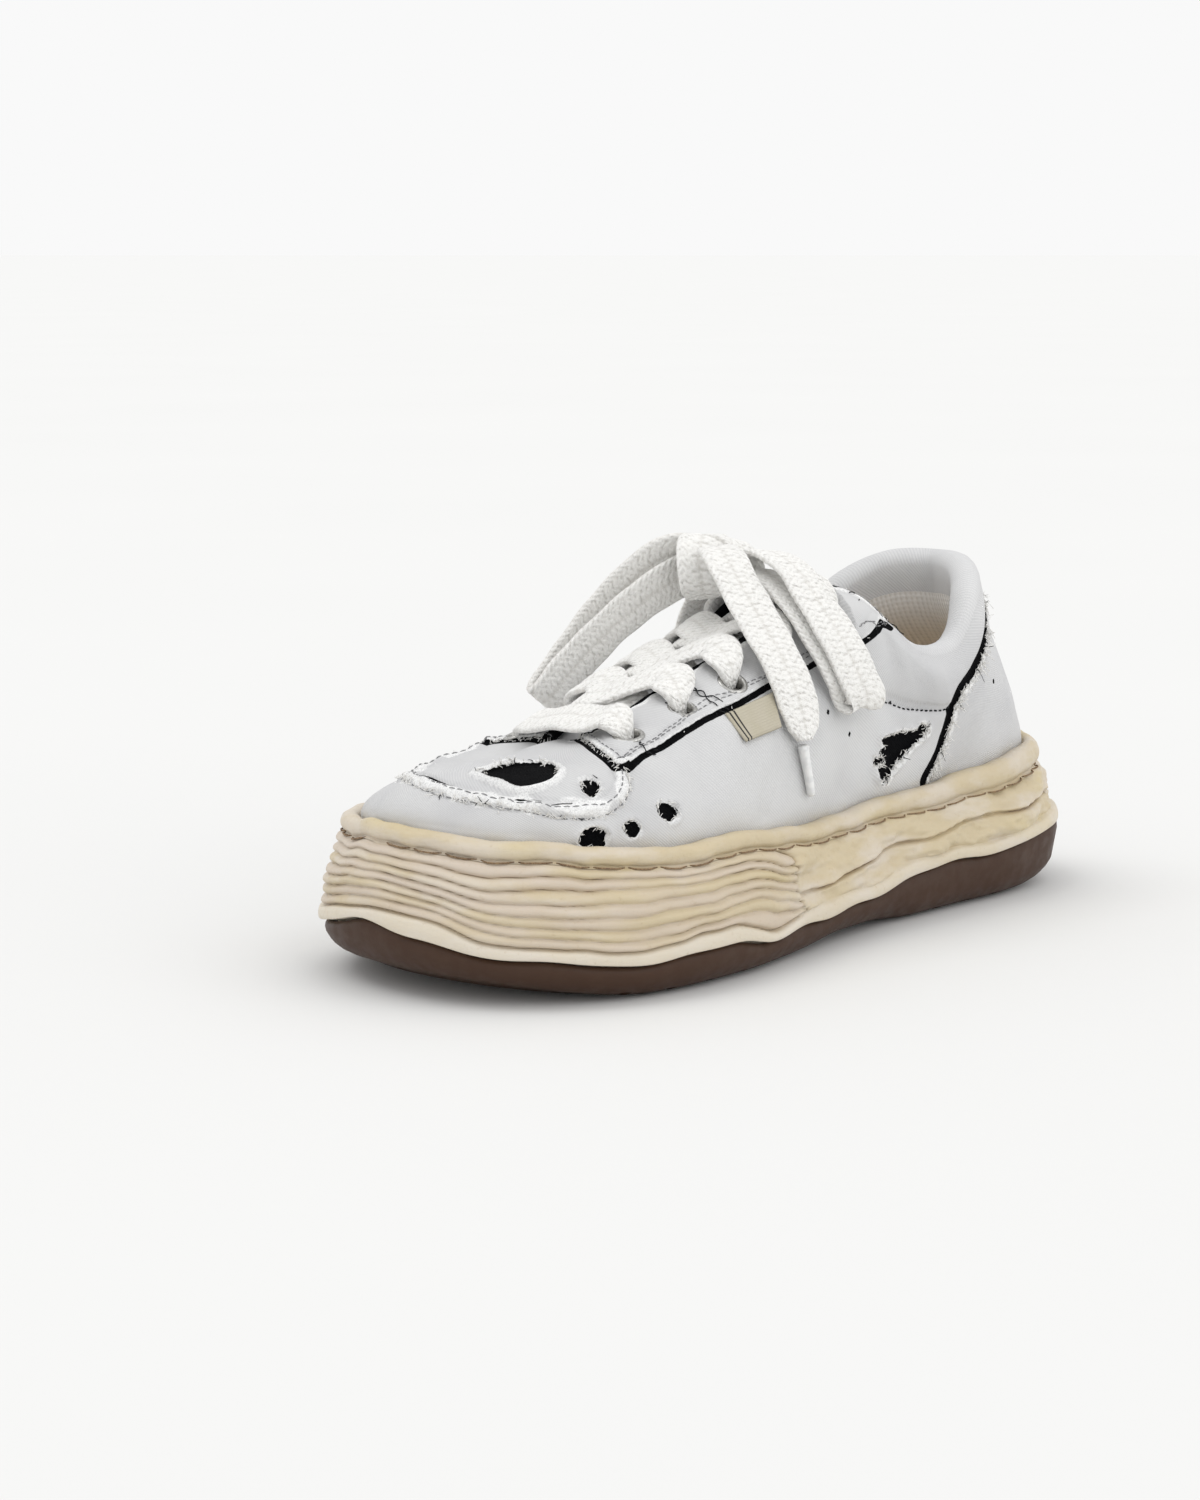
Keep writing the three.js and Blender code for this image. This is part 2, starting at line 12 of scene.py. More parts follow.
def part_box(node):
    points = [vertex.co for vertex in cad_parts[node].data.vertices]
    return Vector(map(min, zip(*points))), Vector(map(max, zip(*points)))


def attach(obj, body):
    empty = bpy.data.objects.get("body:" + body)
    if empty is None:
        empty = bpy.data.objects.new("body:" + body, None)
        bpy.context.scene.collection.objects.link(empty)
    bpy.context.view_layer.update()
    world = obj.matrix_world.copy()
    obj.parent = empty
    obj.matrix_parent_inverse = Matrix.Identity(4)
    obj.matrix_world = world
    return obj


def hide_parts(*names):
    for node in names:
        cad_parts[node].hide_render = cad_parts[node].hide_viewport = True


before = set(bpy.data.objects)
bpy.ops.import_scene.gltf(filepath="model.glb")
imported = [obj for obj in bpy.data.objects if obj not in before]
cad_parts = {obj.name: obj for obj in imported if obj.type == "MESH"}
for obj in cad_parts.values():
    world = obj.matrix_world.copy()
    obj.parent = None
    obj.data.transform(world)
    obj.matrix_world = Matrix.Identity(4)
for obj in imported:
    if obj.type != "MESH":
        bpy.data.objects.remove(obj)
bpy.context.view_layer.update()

# A worn left canvas sneaker on a thick clay-like sole. Sizes are in millimetres unless a name says otherwise,
# +X to the toe, +Y to the outer side, and become metres where a mesh is made.
mm = 0.001
floorHeight = min(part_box("outsole")[0].z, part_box("midsole")[0].z)


def linked(name, data):
    # an object for a mesh, a curve, a camera or a light
    made = bpy.data.objects.new(name, data)
    bpy.context.scene.collection.objects.link(made)
    return made


# camera
cameraSettings = {"target": (-0.0257, -0.0845, 0.045), "turn": 45, "rise": 9.2, "away": 1.1, "lens": 75.4}


def placeCamera(s):
    turn, rise = math.radians(s["turn"]), math.radians(s["rise"])
    way = Vector((math.cos(rise) * math.cos(turn), math.cos(rise) * math.sin(turn), math.sin(rise)))
    data = bpy.data.cameras.new("camera")
    data.lens = s["lens"]
    data.clip_start, data.clip_end = 0.05, 50
    camera = linked("camera", data)
    camera.location = Vector(s["target"]) + way * s["away"]
    camera.rotation_euler = (-way).to_track_quat("-Z", "Y").to_euler()
    bpy.context.scene.camera = camera


placeCamera(cameraSettings)
print("camera placed")


# tools for shapes
def smooth(low, high, x):
    t = np.clip((np.asarray(x, float) - low) / (high - low), 0, 1)
    return t * t * (3 - 2 * t)


def bell(x, width):
    return np.exp(-((np.asarray(x, float) / width) ** 2))


def ripples(places, size, seed, waves=14):
    # soft irregular lumps about one size long, mean 0 and spread about 1
    dice = np.random.default_rng(seed)
    total = np.zeros(places.shape[:-1])
    for _ in range(waves):
        way = dice.normal(size=3)
        way *= 2 * math.pi / size / np.linalg.norm(way) * dice.uniform(0.6, 1.4)
        total += np.sin(places @ way + dice.uniform(0, 2 * math.pi))
    return total * math.sqrt(2 / waves)


def curveThrough(rows, count, closed=False):
    # evenly spaced places on a smooth curve through given ones
    p = np.array(rows, float)
    if closed:
        p = np.vstack([p[-1], p, p[0], p[1]])
    else:
        p = np.vstack([2 * p[0] - p[1], p, 2 * p[-1] - p[-2]])
    fine = []
    for p0, p1, p2, p3 in zip(p, p[1:], p[2:], p[3:]):
        a, b, c = (max(math.sqrt(np.linalg.norm(v)), 1e-6) for v in (p1 - p0, p2 - p1, p3 - p2))
        start = b * ((p1 - p0) / a - (p2 - p0) / (a + b) + (p2 - p1) / b)
        end = b * ((p2 - p1) / b - (p3 - p1) / (b + c) + (p3 - p2) / c)
        s = np.linspace(0, 1, 24, endpoint=False)[:, None]
        rise = 3 * s**2 - 2 * s**3
        fine.append(p1 * (1 - rise) + p2 * rise + start * (s**3 - 2 * s**2 + s) + end * (s**3 - s**2))
    fine = np.vstack(fine + [p[-2][None]])
    return evenly(fine, count)


def runOf(line):
    # how far along the line each of its places is
    return np.concatenate([[0], np.cumsum(np.linalg.norm(np.diff(line, axis=0), axis=1))])


def evenly(line, count):
    along = runOf(line)
    at = np.linspace(0, along[-1], count)
    return np.stack([np.interp(at, along, line[:, k]) for k in range(line.shape[1])], 1)


def lengthOf(line):
    return float(np.linalg.norm(np.diff(np.array(line, float), axis=0), axis=1).sum())


def between(rows, t, odd=()):
    # a smooth curve through rows [t, value, ...]; columns in odd change sign at both ends, the others mirror
    rows = np.array(rows, float)

    def flip(row, about):
        turned = row.copy()
        turned[0] = 2 * about - row[0]
        for k in odd:
            turned[k] = -row[k]
        return turned

    every = np.vstack([flip(rows[1], 0), rows, flip(rows[-2], 1)])
    i = np.clip(np.searchsorted(every[:, 0], t, side="right") - 1, 1, len(every) - 3)
    a, b, c, d = every[i - 1], every[i], every[i + 1], every[i + 2]
    s = ((t - b[:, 0]) / (c[:, 0] - b[:, 0]))[:, None]
    start = (c - a) / (c[:, :1] - a[:, :1]) * (c[:, :1] - b[:, :1])
    end = (d - b) / (d[:, :1] - b[:, :1]) * (c[:, :1] - b[:, :1])
    rise = 3 * s**2 - 2 * s**3
    value = b * (1 - rise) + c * rise + start * (s**3 - 2 * s**2 + s) + end * (s**3 - s**2)
    return value[:, 1:]


def normalsOf(table):
    # outward direction at each place of a table[round, along] whose last column is its first again
    core = table[:-1]
    across = np.roll(core, -1, axis=0) - np.roll(core, 1, axis=0)
    across = np.concatenate([across, across[:1]])
    facing = np.cross(across, np.gradient(table, axis=1))
    return facing / np.maximum(np.linalg.norm(facing, axis=-1, keepdims=True), 1e-9)


def meshFrom(name, table, materials, closedAlong=False, uv=None, values=None, part=None):
    # a grid bent onto table[round, along], welded where its edges meet, with its open ends filled
    count, rows = table.shape[:2]
    bm = bmesh.new()
    bm.loops.layers.uv.new("UVMap")
    bmesh.ops.create_grid(bm, x_segments=count - 1, y_segments=rows - 1, size=1, calc_uvs=True)
    mesh = meshOf(name, bm, *materials)
    flat = np.empty(len(mesh.vertices) * 3)
    mesh.vertices.foreach_get("co", flat)
    flat = flat.reshape(-1, 3)
    i = np.rint((flat[:, 0] + 1) / 2 * (count - 1)).astype(int)
    j = np.rint((flat[:, 1] + 1) / 2 * (rows - 1)).astype(int)
    mesh.vertices.foreach_set("co", (table[i, j] * mm).ravel())
    corner = np.empty(len(mesh.loops), int)
    mesh.loops.foreach_get("vertex_index", corner)
    if uv is None:
        uv = np.stack(np.meshgrid(runOf(table[:, rows // 2]), runOf(table[0]), indexing="ij"), -1)
    mesh.uv_layers[0].data.foreach_set("uv", uv[i[corner], j[corner]].astype(np.float32).ravel())
    for key, field in (values or {}).items():
        layer = mesh.attributes.new(key, "FLOAT", "POINT")
        layer.data.foreach_set("value", field[i, j].astype(np.float32))
    if part is not None:
        first = np.empty(len(mesh.polygons), int)
        mesh.polygons.foreach_get("loop_start", first)
        mesh.polygons.foreach_set("material_index", part[j[corner[first]]].astype(int))
    welded(mesh, 1e-7, fill=not closedAlong)
    return shown(name, mesh)


def meshOf(name, bm, *materials):
    # ends a bmesh as a mesh
    mesh = bpy.data.meshes.new(name)
    bm.to_mesh(mesh)
    bm.free()
    for material in materials:
        mesh.materials.append(material)
    return mesh


def welded(mesh, closeBy, fill=False):
    # merges doubles, fills open ends if asked, and turns the faces out
    bm = bmesh.new()
    bm.from_mesh(mesh)
    bmesh.ops.remove_doubles(bm, verts=bm.verts, dist=closeBy)
    if fill:
        bmesh.ops.holes_fill(bm, edges=[e for e in bm.edges if e.is_boundary], sides=0)
    bmesh.ops.recalc_face_normals(bm, faces=bm.faces)
    bm.to_mesh(mesh)
    bm.free()


def shown(name, mesh):
    mesh.shade_smooth()
    return linked(name, mesh)


def subdivided(piece, levels):
    soft = piece.modifiers.new("soft", "SUBSURF")
    soft.levels = soft.render_levels = levels
    return piece


def appliedMesh(source):
    # the mesh that an object shows once its modifiers or its bevel are worked out
    bpy.context.view_layer.update()
    return bpy.data.meshes.new_from_object(source.evaluated_get(bpy.context.evaluated_depsgraph_get()))


def threads(name, lines, radius, materials, sides=1, taper=1.0, kinds=None):
    # many short round strands as one mesh; kinds picks each strand's material
    data = bpy.data.curves.new(name, "CURVE")
    data.dimensions = "3D"
    data.bevel_depth = radius * mm
    data.bevel_resolution = sides
    data.use_fill_caps = True
    for material in materials:
        data.materials.append(material)
    for n, line in enumerate(lines):
        spline = data.splines.new("POLY")
        spline.points.add(len(line) - 1)
        spline.use_smooth = True
        for k, place in enumerate(line):
            spline.points[k].co = (*(np.array(place) * mm), 1)
            spline.points[k].radius = 1 + (taper - 1) * k / (len(line) - 1)
        if kinds is not None:
            spline.material_index = kinds[n]
    curve = linked(name + "_line", data)
    mesh = appliedMesh(curve)
    bpy.data.objects.remove(curve)
    mesh.name = name
    welded(mesh, 1e-8)
    return shown(name, mesh)


def finished(piece, slot, *nodes):
    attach(piece, "root")
    if nodes:
        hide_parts(*nodes)
    return piece


# tools for materials
smoothStep = {"interpolation_type": "SMOOTHSTEP"}
colourMix = {"data_type": "RGBA", "out": 2}


def linear(hexColour):
    # sRGB hex to the linear colour that a shader takes
    channels = [int(hexColour[k:k + 2], 16) / 255 for k in (1, 3, 5)]
    return (*[c / 12.92 if c <= 0.04045 else ((c + 0.055) / 1.055) ** 2.4 for c in channels], 1)


def plug(tree, made, links):
    # fills a node's inputs, by number or name, with plain values or with other nodes' outputs
    for key, value in links.items():
        if isinstance(value, bpy.types.NodeSocket):
            tree.links.new(value, made.inputs[key])
        else:
            made.inputs[key].default_value = value


def addNode(tree, kind, links, out=0, **settings):
    # adds one node with its links and settings, and gives back one output, or all of them where out is None
    made = tree.nodes.new("ShaderNode" + kind)
    for key, value in settings.items():
        setattr(made, key, value)
    plug(tree, made, links if isinstance(links, dict) else dict(enumerate(links)))
    return made.outputs if out is None else made.outputs[out]


def newMaterial(name, surface, *colours):
    # surface adds its nodes and gives the shader's inputs; a noise's Scale is 1000 over its lumps' width in mm
    material = bpy.data.materials.new(name)
    material.use_nodes = True
    tree = material.node_tree
    plug(tree, tree.nodes["Principled BSDF"], surface(partial(addNode, tree), *colours))
    return material


def twill(add, u, v, pitch):
    # diagonal ribs of a twill with the bumps of single yarns on them, 0 to 1
    turn = 2 * math.pi / pitch
    ribs = add("Math", [add("Math", [add("Math", [u, v]), turn], operation="MULTIPLY")], operation="SINE")
    across = add("Math", [u, v], operation="SUBTRACT")
    yarns = add("Math", [add("Math", [across, turn * 2], operation="MULTIPLY")], operation="SINE")
    ribs = add("Math", [ribs, 0.32], operation="MULTIPLY")
    yarns = add("Math", [yarns, 0.18], operation="MULTIPLY")
    return add("Math", [add("Math", [ribs, yarns]), 0.5])


# the rib grey is painted shade for the twill's hollows
canvasColours = {"white": "#d8d8d8", "shade": "#cececf", "fray": "#f8f8f7", "frayShade": "#d9d9d9",
                 "rib": "#a6a7aa",
                 "black": "#020203", "blackPile": "#0b0c0f", "soil": "#cfc8b8"}


def canvasSurface(add, s):
    # washed cotton twill over a black knit: dull cool white with faint diagonal ribs and painted shade in their
    # hollows, soft black in the tears
    place = add("TexCoord", [], "Object")
    u, v, _ = add("SeparateXYZ", [add("TexCoord", [], "UV")], None)
    cloudy = add("TexNoise", {"Vector": place, "Scale": 1000 / 26, "Detail": 4})
    fine = add("TexNoise", {"Vector": place, "Scale": 1000 / 1.4, "Detail": 4, "Roughness": 0.7})
    jagged = add("TexNoise", {"Vector": place, "Scale": 1000 / 2.4, "Detail": 1.5})
    white = add("Mix", {0: add("MapRange", [cloudy, 0.35, 0.75], **smoothStep),
                        6: linear(s["white"]), 7: linear(s["shade"])}, **colourMix)
    weave = twill(add, u, v, 1.15)  # real twill is about half this pitch; drawn as coarse as it needs to show
    # painted shade: the twill's hollows are darkened towards the rib grey
    hollow = add("MapRange", [weave, 0.1, 0.75, 1, 0], **smoothStep)
    hollow = add("Math", [hollow, 0.24], operation="MULTIPLY")
    white = add("Mix", {0: hollow, 6: white, 7: linear(s["rib"])}, **colourMix)
    grime = add("MapRange", [add("TexNoise", {"Vector": place, "Scale": 1000 / 9, "Detail": 5}), 0.3, 0.75],
                **smoothStep)
    soil = add("Math", [add("Attribute", [], "Fac", attribute_name="soil"), grime], operation="MULTIPLY")
    white = add("Mix", {0: soil, 6: white, 7: linear(s["soil"])}, **colourMix)
    uneven = add("Math", [add("Math", [fine, 0.5], operation="SUBTRACT"), 2.2], operation="MULTIPLY")
    ragged = add("Math", [add("Attribute", [], "Fac", attribute_name="raw"), uneven])
    frayed = add("MapRange", [ragged, 0.4, 1.9, 1, 0], **smoothStep)
    strands = add("TexNoise", {"Vector": place, "Scale": 1000 / 0.55, "Detail": 3, "Roughness": 0.8})
    fray = add("Mix", {0: add("MapRange", [strands, 0.38, 0.56], **smoothStep),
                       6: linear(s["frayShade"]), 7: linear(s["fray"])}, **colourMix)
    white = add("Mix", {0: add("Math", [frayed, 0.88], operation="MULTIPLY"), 6: white, 7: fray}, **colourMix)
    torn = add("Math", [add("Attribute", [], "Fac", attribute_name="torn"), 0.35])
    bitten = add("Math", [add("Math", [jagged, 0.5], operation="SUBTRACT"), torn], operation="MULTIPLY")
    nibbled = add("Math", [add("Attribute", [], "Fac", attribute_name="dark"), bitten])
    black = add("MapRange", [nibbled, -0.06, 0.06, 1, 0], **smoothStep)
    pile = add("Mix", {0: add("MapRange", [strands, 0.4, 0.65], **smoothStep),
                       6: linear(s["black"]), 7: linear(s["blackPile"])}, **colourMix)
    relief = add("Mix", {0: frayed, 6: weave, 7: strands}, **colourMix)
    coarse = add("Bump", {"Height": relief, "Distance": 0.16 * mm, "Strength": 0.8})
    fuzz = add("Math", [fine, add("Math", [frayed, black])], operation="MULTIPLY")
    return {"Base Color": add("Mix", {0: black, 6: white, 7: pile}, **colourMix), "Roughness": 0.95,
            "Specular IOR Level": 0.1,
            "Normal": add("Bump", {"Height": fuzz, "Distance": 0.6 * mm, "Strength": 0.9, "Normal": coarse})}


def plainCanvasSurface(add, threadPitch, white, shade):
    # the same washed twill without its tears, on the piece's own place, with painted shade in the twill's hollows
    place = add("TexCoord", [], "Object")
    x, y, _ = add("SeparateXYZ", [place], None)
    across, along = (add("Math", [way, 1000], operation="MULTIPLY") for way in (x, y))
    weave = twill(add, across, along, threadPitch)
    cloudy = add("TexNoise", {"Vector": place, "Scale": 1000 / 20, "Detail": 4})
    colour = add("Mix", {0: add("MapRange", [cloudy, 0.35, 0.75], **smoothStep),
                         6: linear(white), 7: linear(shade)}, **colourMix)
    # painted shade: the twill's hollows are darkened towards a cool grey
    colour = add("Mix", {0: add("MapRange", [weave, 0.1, 0.75, 0.18, 0], **smoothStep),
                         6: colour, 7: linear("#aeb1b8")}, **colourMix)
    return {"Base Color": colour, "Roughness": 0.92, "Sheen Weight": 0.25,
            "Normal": add("Bump", {"Height": weave, "Distance": 0.16 * mm, "Strength": 0.7})}


def liningSurface(add):
    # ribbed polyester knit: white with narrow upright ribs at the collar and painted shade between them, turning
    # warm beige deep in the shoe
    place = add("TexCoord", [], "Object")
    u, v, _ = add("SeparateXYZ", [add("TexCoord", [], "UV")], None)
    ribs = add("Math", [add("Math", [u, 2 * math.pi / 1.9], operation="MULTIPLY")], operation="SINE")
    loops = add("Math", [add("Math", [v, 2 * math.pi / 1.5], operation="MULTIPLY")], operation="SINE")
    ribs = add("Math", [ribs, 0.6], operation="MULTIPLY")
    knit = add("Math", [ribs, add("Math", [loops, 0.3], operation="MULTIPLY")])
    deep = add("MapRange", [add("SeparateXYZ", [place], 2), 0.102, 0.07], **smoothStep)
    colour = add("Mix", {0: deep, 6: linear("#ebe9e6"), 7: linear("#f3e4ce")}, **colourMix)
    # painted shade: the knit's furrows between the ribs are darkened towards a grey beige
    colour = add("Mix", {0: add("MapRange", [knit, 0.2, -0.9, 0, 0.3], **smoothStep),
                         6: colour, 7: linear("#b5aa9c")}, **colourMix)
    return {"Base Color": colour, "Roughness": 0.95, "Sheen Weight": 0.3,
            "Normal": add("Bump", {"Height": knit, "Distance": 0.22 * mm, "Strength": 0.7})}


laceColours = {"yarn": "#f7f6f3", "hollow": "#c6c2bb", "speck": "#aaa69f"}


def laceSurface(add, s):
    # flat braided cotton lace: chalk white, chevrons of yarn with small shaded hollows between them
    place = add("TexCoord", [], "Object")
    u, v, _ = add("SeparateXYZ", [add("TexCoord", [], "UV")], None)
    worn = add("TexNoise", {"Vector": place, "Scale": 1000 / 1.1, "Detail": 3, "Roughness": 0.6})
    worn = add("Math", [add("Math", [worn, 0.5], operation="SUBTRACT"), 1.3], operation="MULTIPLY")
    braid = add("Math", [add("Attribute", [], "Fac", attribute_name="braid"), worn])
    fine = add("TexNoise", {"Vector": place, "Scale": 1000 / 0.5, "Detail": 3, "Roughness": 0.7})
    slant = add("Math", [v, add("Math", [u, 0.7], operation="MULTIPLY")])
    yarn = add("Math", [add("Math", [slant, 9.5], operation="MULTIPLY")], operation="SINE")
    colour = add("Mix", {0: add("MapRange", [braid, 0.02, 0.7, 0.55, 0], **smoothStep),
                         6: linear(s["yarn"]), 7: linear(s["hollow"])}, **colourMix)
    colour = add("Mix", {0: add("MapRange", [fine, 0.3, 0.7, 0.14, 0], **smoothStep),
                         6: colour, 7: linear(s["speck"])}, **colourMix)
    first = add("Bump", {"Height": braid, "Distance": 0.5 * mm, "Strength": 0.9})
    fuzz = add("Math", [add("Math", [yarn, 0.25], operation="MULTIPLY"), fine])
    return {"Base Color": colour, "Roughness": 0.88, "Sheen Weight": 0.35, "Subsurface Weight": 0.08,
            "Subsurface Radius": (0.002, 0.002, 0.002),
            "Normal": add("Bump", {"Height": fuzz, "Distance": 0.16 * mm, "Strength": 0.6, "Normal": first})}


# the last two colours are painted shade in the creases and grooves; the first of them also serves as random dirt
clayColours = {"cream": "#c7b899", "pale": "#cfc4b3", "yellow": "#cab985", "pink": "#c8baab",
               "grimy": "#a8916f",
               "groove": "#75604a", "rim": "#d9d1c3"}


def claySurface(add, s):
    # hand-finished EVA foam with a matt wax: cream with pinkish and yellow patches, and brown painted shade along
    # the grooves and creases
    place = add("TexCoord", [], "Object")
    stretched = add("Mapping", {"Vector": place, "Scale": (0.45, 0.45, 1.3)})
    fine = add("TexNoise", {"Vector": place, "Scale": 1000 / 1.8, "Detail": 5, "Roughness": 0.65})
    patches = add("TexNoise", {"Vector": stretched, "Scale": 1000 / 17, "Detail": 4, "Roughness": 0.55})
    stains = add("TexNoise", {"Vector": stretched, "Scale": 1000 / 25, "Detail": 3})
    groove = add("Attribute", [], "Fac", attribute_name="groove")
    tint = add("Attribute", [], "Fac", attribute_name="tint")
    flange = add("Attribute", [], "Fac", attribute_name="flange")
    colour = linear(s["cream"])
    for name, share in (("pale", add("MapRange", [patches, 0.44, 0.62], **smoothStep)),
                        ("yellow", add("MapRange", [stains, 0.55, 0.72, 0, 0.5], **smoothStep)),
                        ("pink", add("Math", [tint, 0.75], operation="MULTIPLY")),
                        ("rim", add("Math", [flange, 0.7], operation="MULTIPLY")),
                        ("grimy", add("MapRange", [fine, 0.58, 0.78, 0, 0.35], **smoothStep)),
                        # from here the groove marks are painted shade: grey-brown in creases, brown in the
                        # deepest; the line above is random dirt
                        ("grimy", add("MapRange", [groove, 0.12, 0.9, 0, 0.6], **smoothStep)),
                        ("groove", add("MapRange", [groove, 0.6, 1.0, 0, 0.8], **smoothStep))):
        colour = add("Mix", {0: share, 6: colour, 7: linear(s[name])}, **colourMix)
    dents = add("TexNoise", {"Vector": stretched, "Scale": 1000 / 3.2, "Detail": 4, "Roughness": 0.6})
    first = add("Bump", {"Height": dents, "Distance": 0.55 * mm, "Strength": 0.6})
    return {"Base Color": colour, "Roughness": add("MapRange", [fine, 0.3, 0.7, 0.42, 0.62], **smoothStep),
            "Subsurface Weight": 0.06, "Subsurface Radius": (0.004, 0.003, 0.002),
            "Normal": add("Bump", {"Height": fine, "Distance": 0.2 * mm, "Strength": 0.6, "Normal": first})}


def rubberSurface(add):
    # moulded natural rubber: matt chocolate brown, faintly dusty in patches
    place = add("TexCoord", [], "Object")
    dust = add("TexNoise", {"Vector": place, "Scale": 1000 / 12, "Detail": 5, "Roughness": 0.65})
    dust = add("MapRange", [dust, 0.45, 0.8, 0, 0.5], **smoothStep)
    shine = add("TexNoise", {"Vector": place, "Scale": 1000 / 4, "Detail": 4})
    grain = add("TexNoise", {"Vector": place, "Scale": 1000 / 0.7, "Detail": 3, "Roughness": 0.6})
    return {"Base Color": add("Mix", {0: dust, 6: linear("#412b1d"), 7: linear("#4a3527")}, **colourMix),
            "Specular IOR Level": 0.3,
            "Roughness": add("MapRange", [shine, 0.3, 0.7, 0.46, 0.6], **smoothStep),
            "Normal": add("Bump", {"Height": grain, "Distance": 0.06 * mm, "Strength": 0.5})}


def metalSurface(add):
    # nickel-plated brass: bright and slightly warm, with fine handling scratches
    place = add("TexCoord", [], "Object")
    scratches = add("TexNoise", {"Vector": place, "Scale": 1000 / 0.8, "Detail": 5, "Roughness": 0.8})
    share = add("MapRange", [scratches, 0.4, 0.7], **smoothStep)
    return {"Base Color": add("Mix", {0: share, 6: linear("#bebdba"), 7: linear("#888783")}, **colourMix),
            "Metallic": 1, "Roughness": add("MapRange", [scratches, 0.3, 0.7, 0.22, 0.42], **smoothStep),
            "Normal": add("Bump", {"Height": scratches, "Distance": 0.03 * mm, "Strength": 0.4})}


def threadSurface(add, colour, shade):
    # spun thread: dull, a little darker in its twist
    place = add("TexCoord", [], "Object")
    twist = add("TexNoise", {"Vector": place, "Scale": 1000 / 0.6, "Detail": 2})
    share = add("MapRange", [twist, 0.35, 0.65], **smoothStep)
    return {"Base Color": add("Mix", {0: share, 6: linear(colour), 7: linear(shade)}, **colourMix),
            "Roughness": 0.85,
            "Normal": add("Bump", {"Height": twist, "Distance": 0.08 * mm, "Strength": 0.5})}


def agletSurface(add):
    # heat-shrunk acetate film: milky, half clear and glossy
    place = add("TexCoord", [], "Object")
    milky = add("TexNoise", {"Vector": place, "Scale": 1000 / 3, "Detail": 2})
    share = add("MapRange", [milky, 0.4, 0.6], **smoothStep)
    wrinkles = add("TexNoise", {"Vector": place, "Scale": 1000 / 1.2, "Detail": 3})
    return {"Base Color": add("Mix", {0: share, 6: linear("#f3f3f2"), 7: linear("#e6e7e7")}, **colourMix),
            "Roughness": 0.18, "Transmission Weight": 0.15, "IOR": 1.48,
            "Normal": add("Bump", {"Height": wrinkles, "Distance": 0.08 * mm, "Strength": 0.5})}


def labelSurface(add, ground, band):
    # woven satin label: fine cross ribs, plain but for a stripe along one end
    place = add("TexCoord", [], "Object")
    v = add("SeparateXYZ", [add("TexCoord", [], "UV")], 1)
    ribs = add("Math", [add("Math", [v, 2 * math.pi / 0.8], operation="MULTIPLY")], operation="SINE")
    age = add("TexNoise", {"Vector": place, "Scale": 1000 / 5, "Detail": 3})
    age = add("MapRange", [age, 0.3, 0.8, 0, 0.4], **smoothStep)
    stripe = add("MapRange", [add("Attribute", [], "Fac", attribute_name="stripe"), 0.4, 0.6], **smoothStep)
    colour = add("Mix", {0: age, 6: linear(ground), 7: linear("#aba48c")}, **colourMix)
    return {"Base Color": add("Mix", {0: stripe, 6: colour, 7: linear(band)}, **colourMix), "Roughness": 0.75,
            "Normal": add("Bump", {"Height": ribs, "Distance": 0.1 * mm, "Strength": 0.5})}


def paperSurface(add):
    # matt white paper, which the even light makes as bright as the sky behind it
    cloudy = add("TexNoise", {"Vector": add("TexCoord", [], "Object"), "Scale": 1000 / 400, "Detail": 2})
    return {"Base Color": add("Mix", {0: cloudy, 6: linear("#e6e6e5"), 7: linear("#e4e4e3")}, **colourMix),
            "Roughness": 1, "Specular IOR Level": 0}


canvas = newMaterial("washed_cotton_twill", canvasSurface, canvasColours)
tongueCanvas = newMaterial("washed_cotton_twill_tongue", plainCanvasSurface, 1.15, "#d8d8d8", "#cececf")
insoleCloth = newMaterial("brushed_insole_cloth", plainCanvasSurface, 1.4, "#e2d7c4", "#cfc2ac")
lining = newMaterial("ribbed_knit_lining", liningSurface)
lace = newMaterial("braided_cotton_lace", laceSurface, laceColours)
clay = newMaterial("waxed_eva_foam", claySurface, clayColours)
rubber = newMaterial("moulded_natural_rubber", rubberSurface)
metal = newMaterial("nickel_plated_brass", metalSurface)
whiteThread = newMaterial("cotton_thread_white", threadSurface, "#f6f5f2", "#d8d6d2")
blackThread = newMaterial("cotton_thread_black", threadSurface, "#08090b", "#15171b")
greyThread = newMaterial("polyester_thread_grey", threadSurface, "#9b9b9c", "#6e6e70")
brownThread = newMaterial("waxed_linen_thread", threadSurface, "#6b5440", "#927a5c")
agletFilm = newMaterial("acetate_aglet_film", agletSurface)
creamLabel = newMaterial("woven_label_cream", labelSurface, "#b8b19f", "#141416")
brownLabel = newMaterial("woven_label_brown", labelSurface, "#8c8178", "#6f655d")
whitePaper = newMaterial("white_paper_floor", paperSurface)
print("materials made")


# laces: the free bow first
laceSettings = {"width": 15, "thickness": 2.7, "round": 52, "step": 0.6, "braidPitch": 2.15, "columns": 8,
                "relief": 0.5}


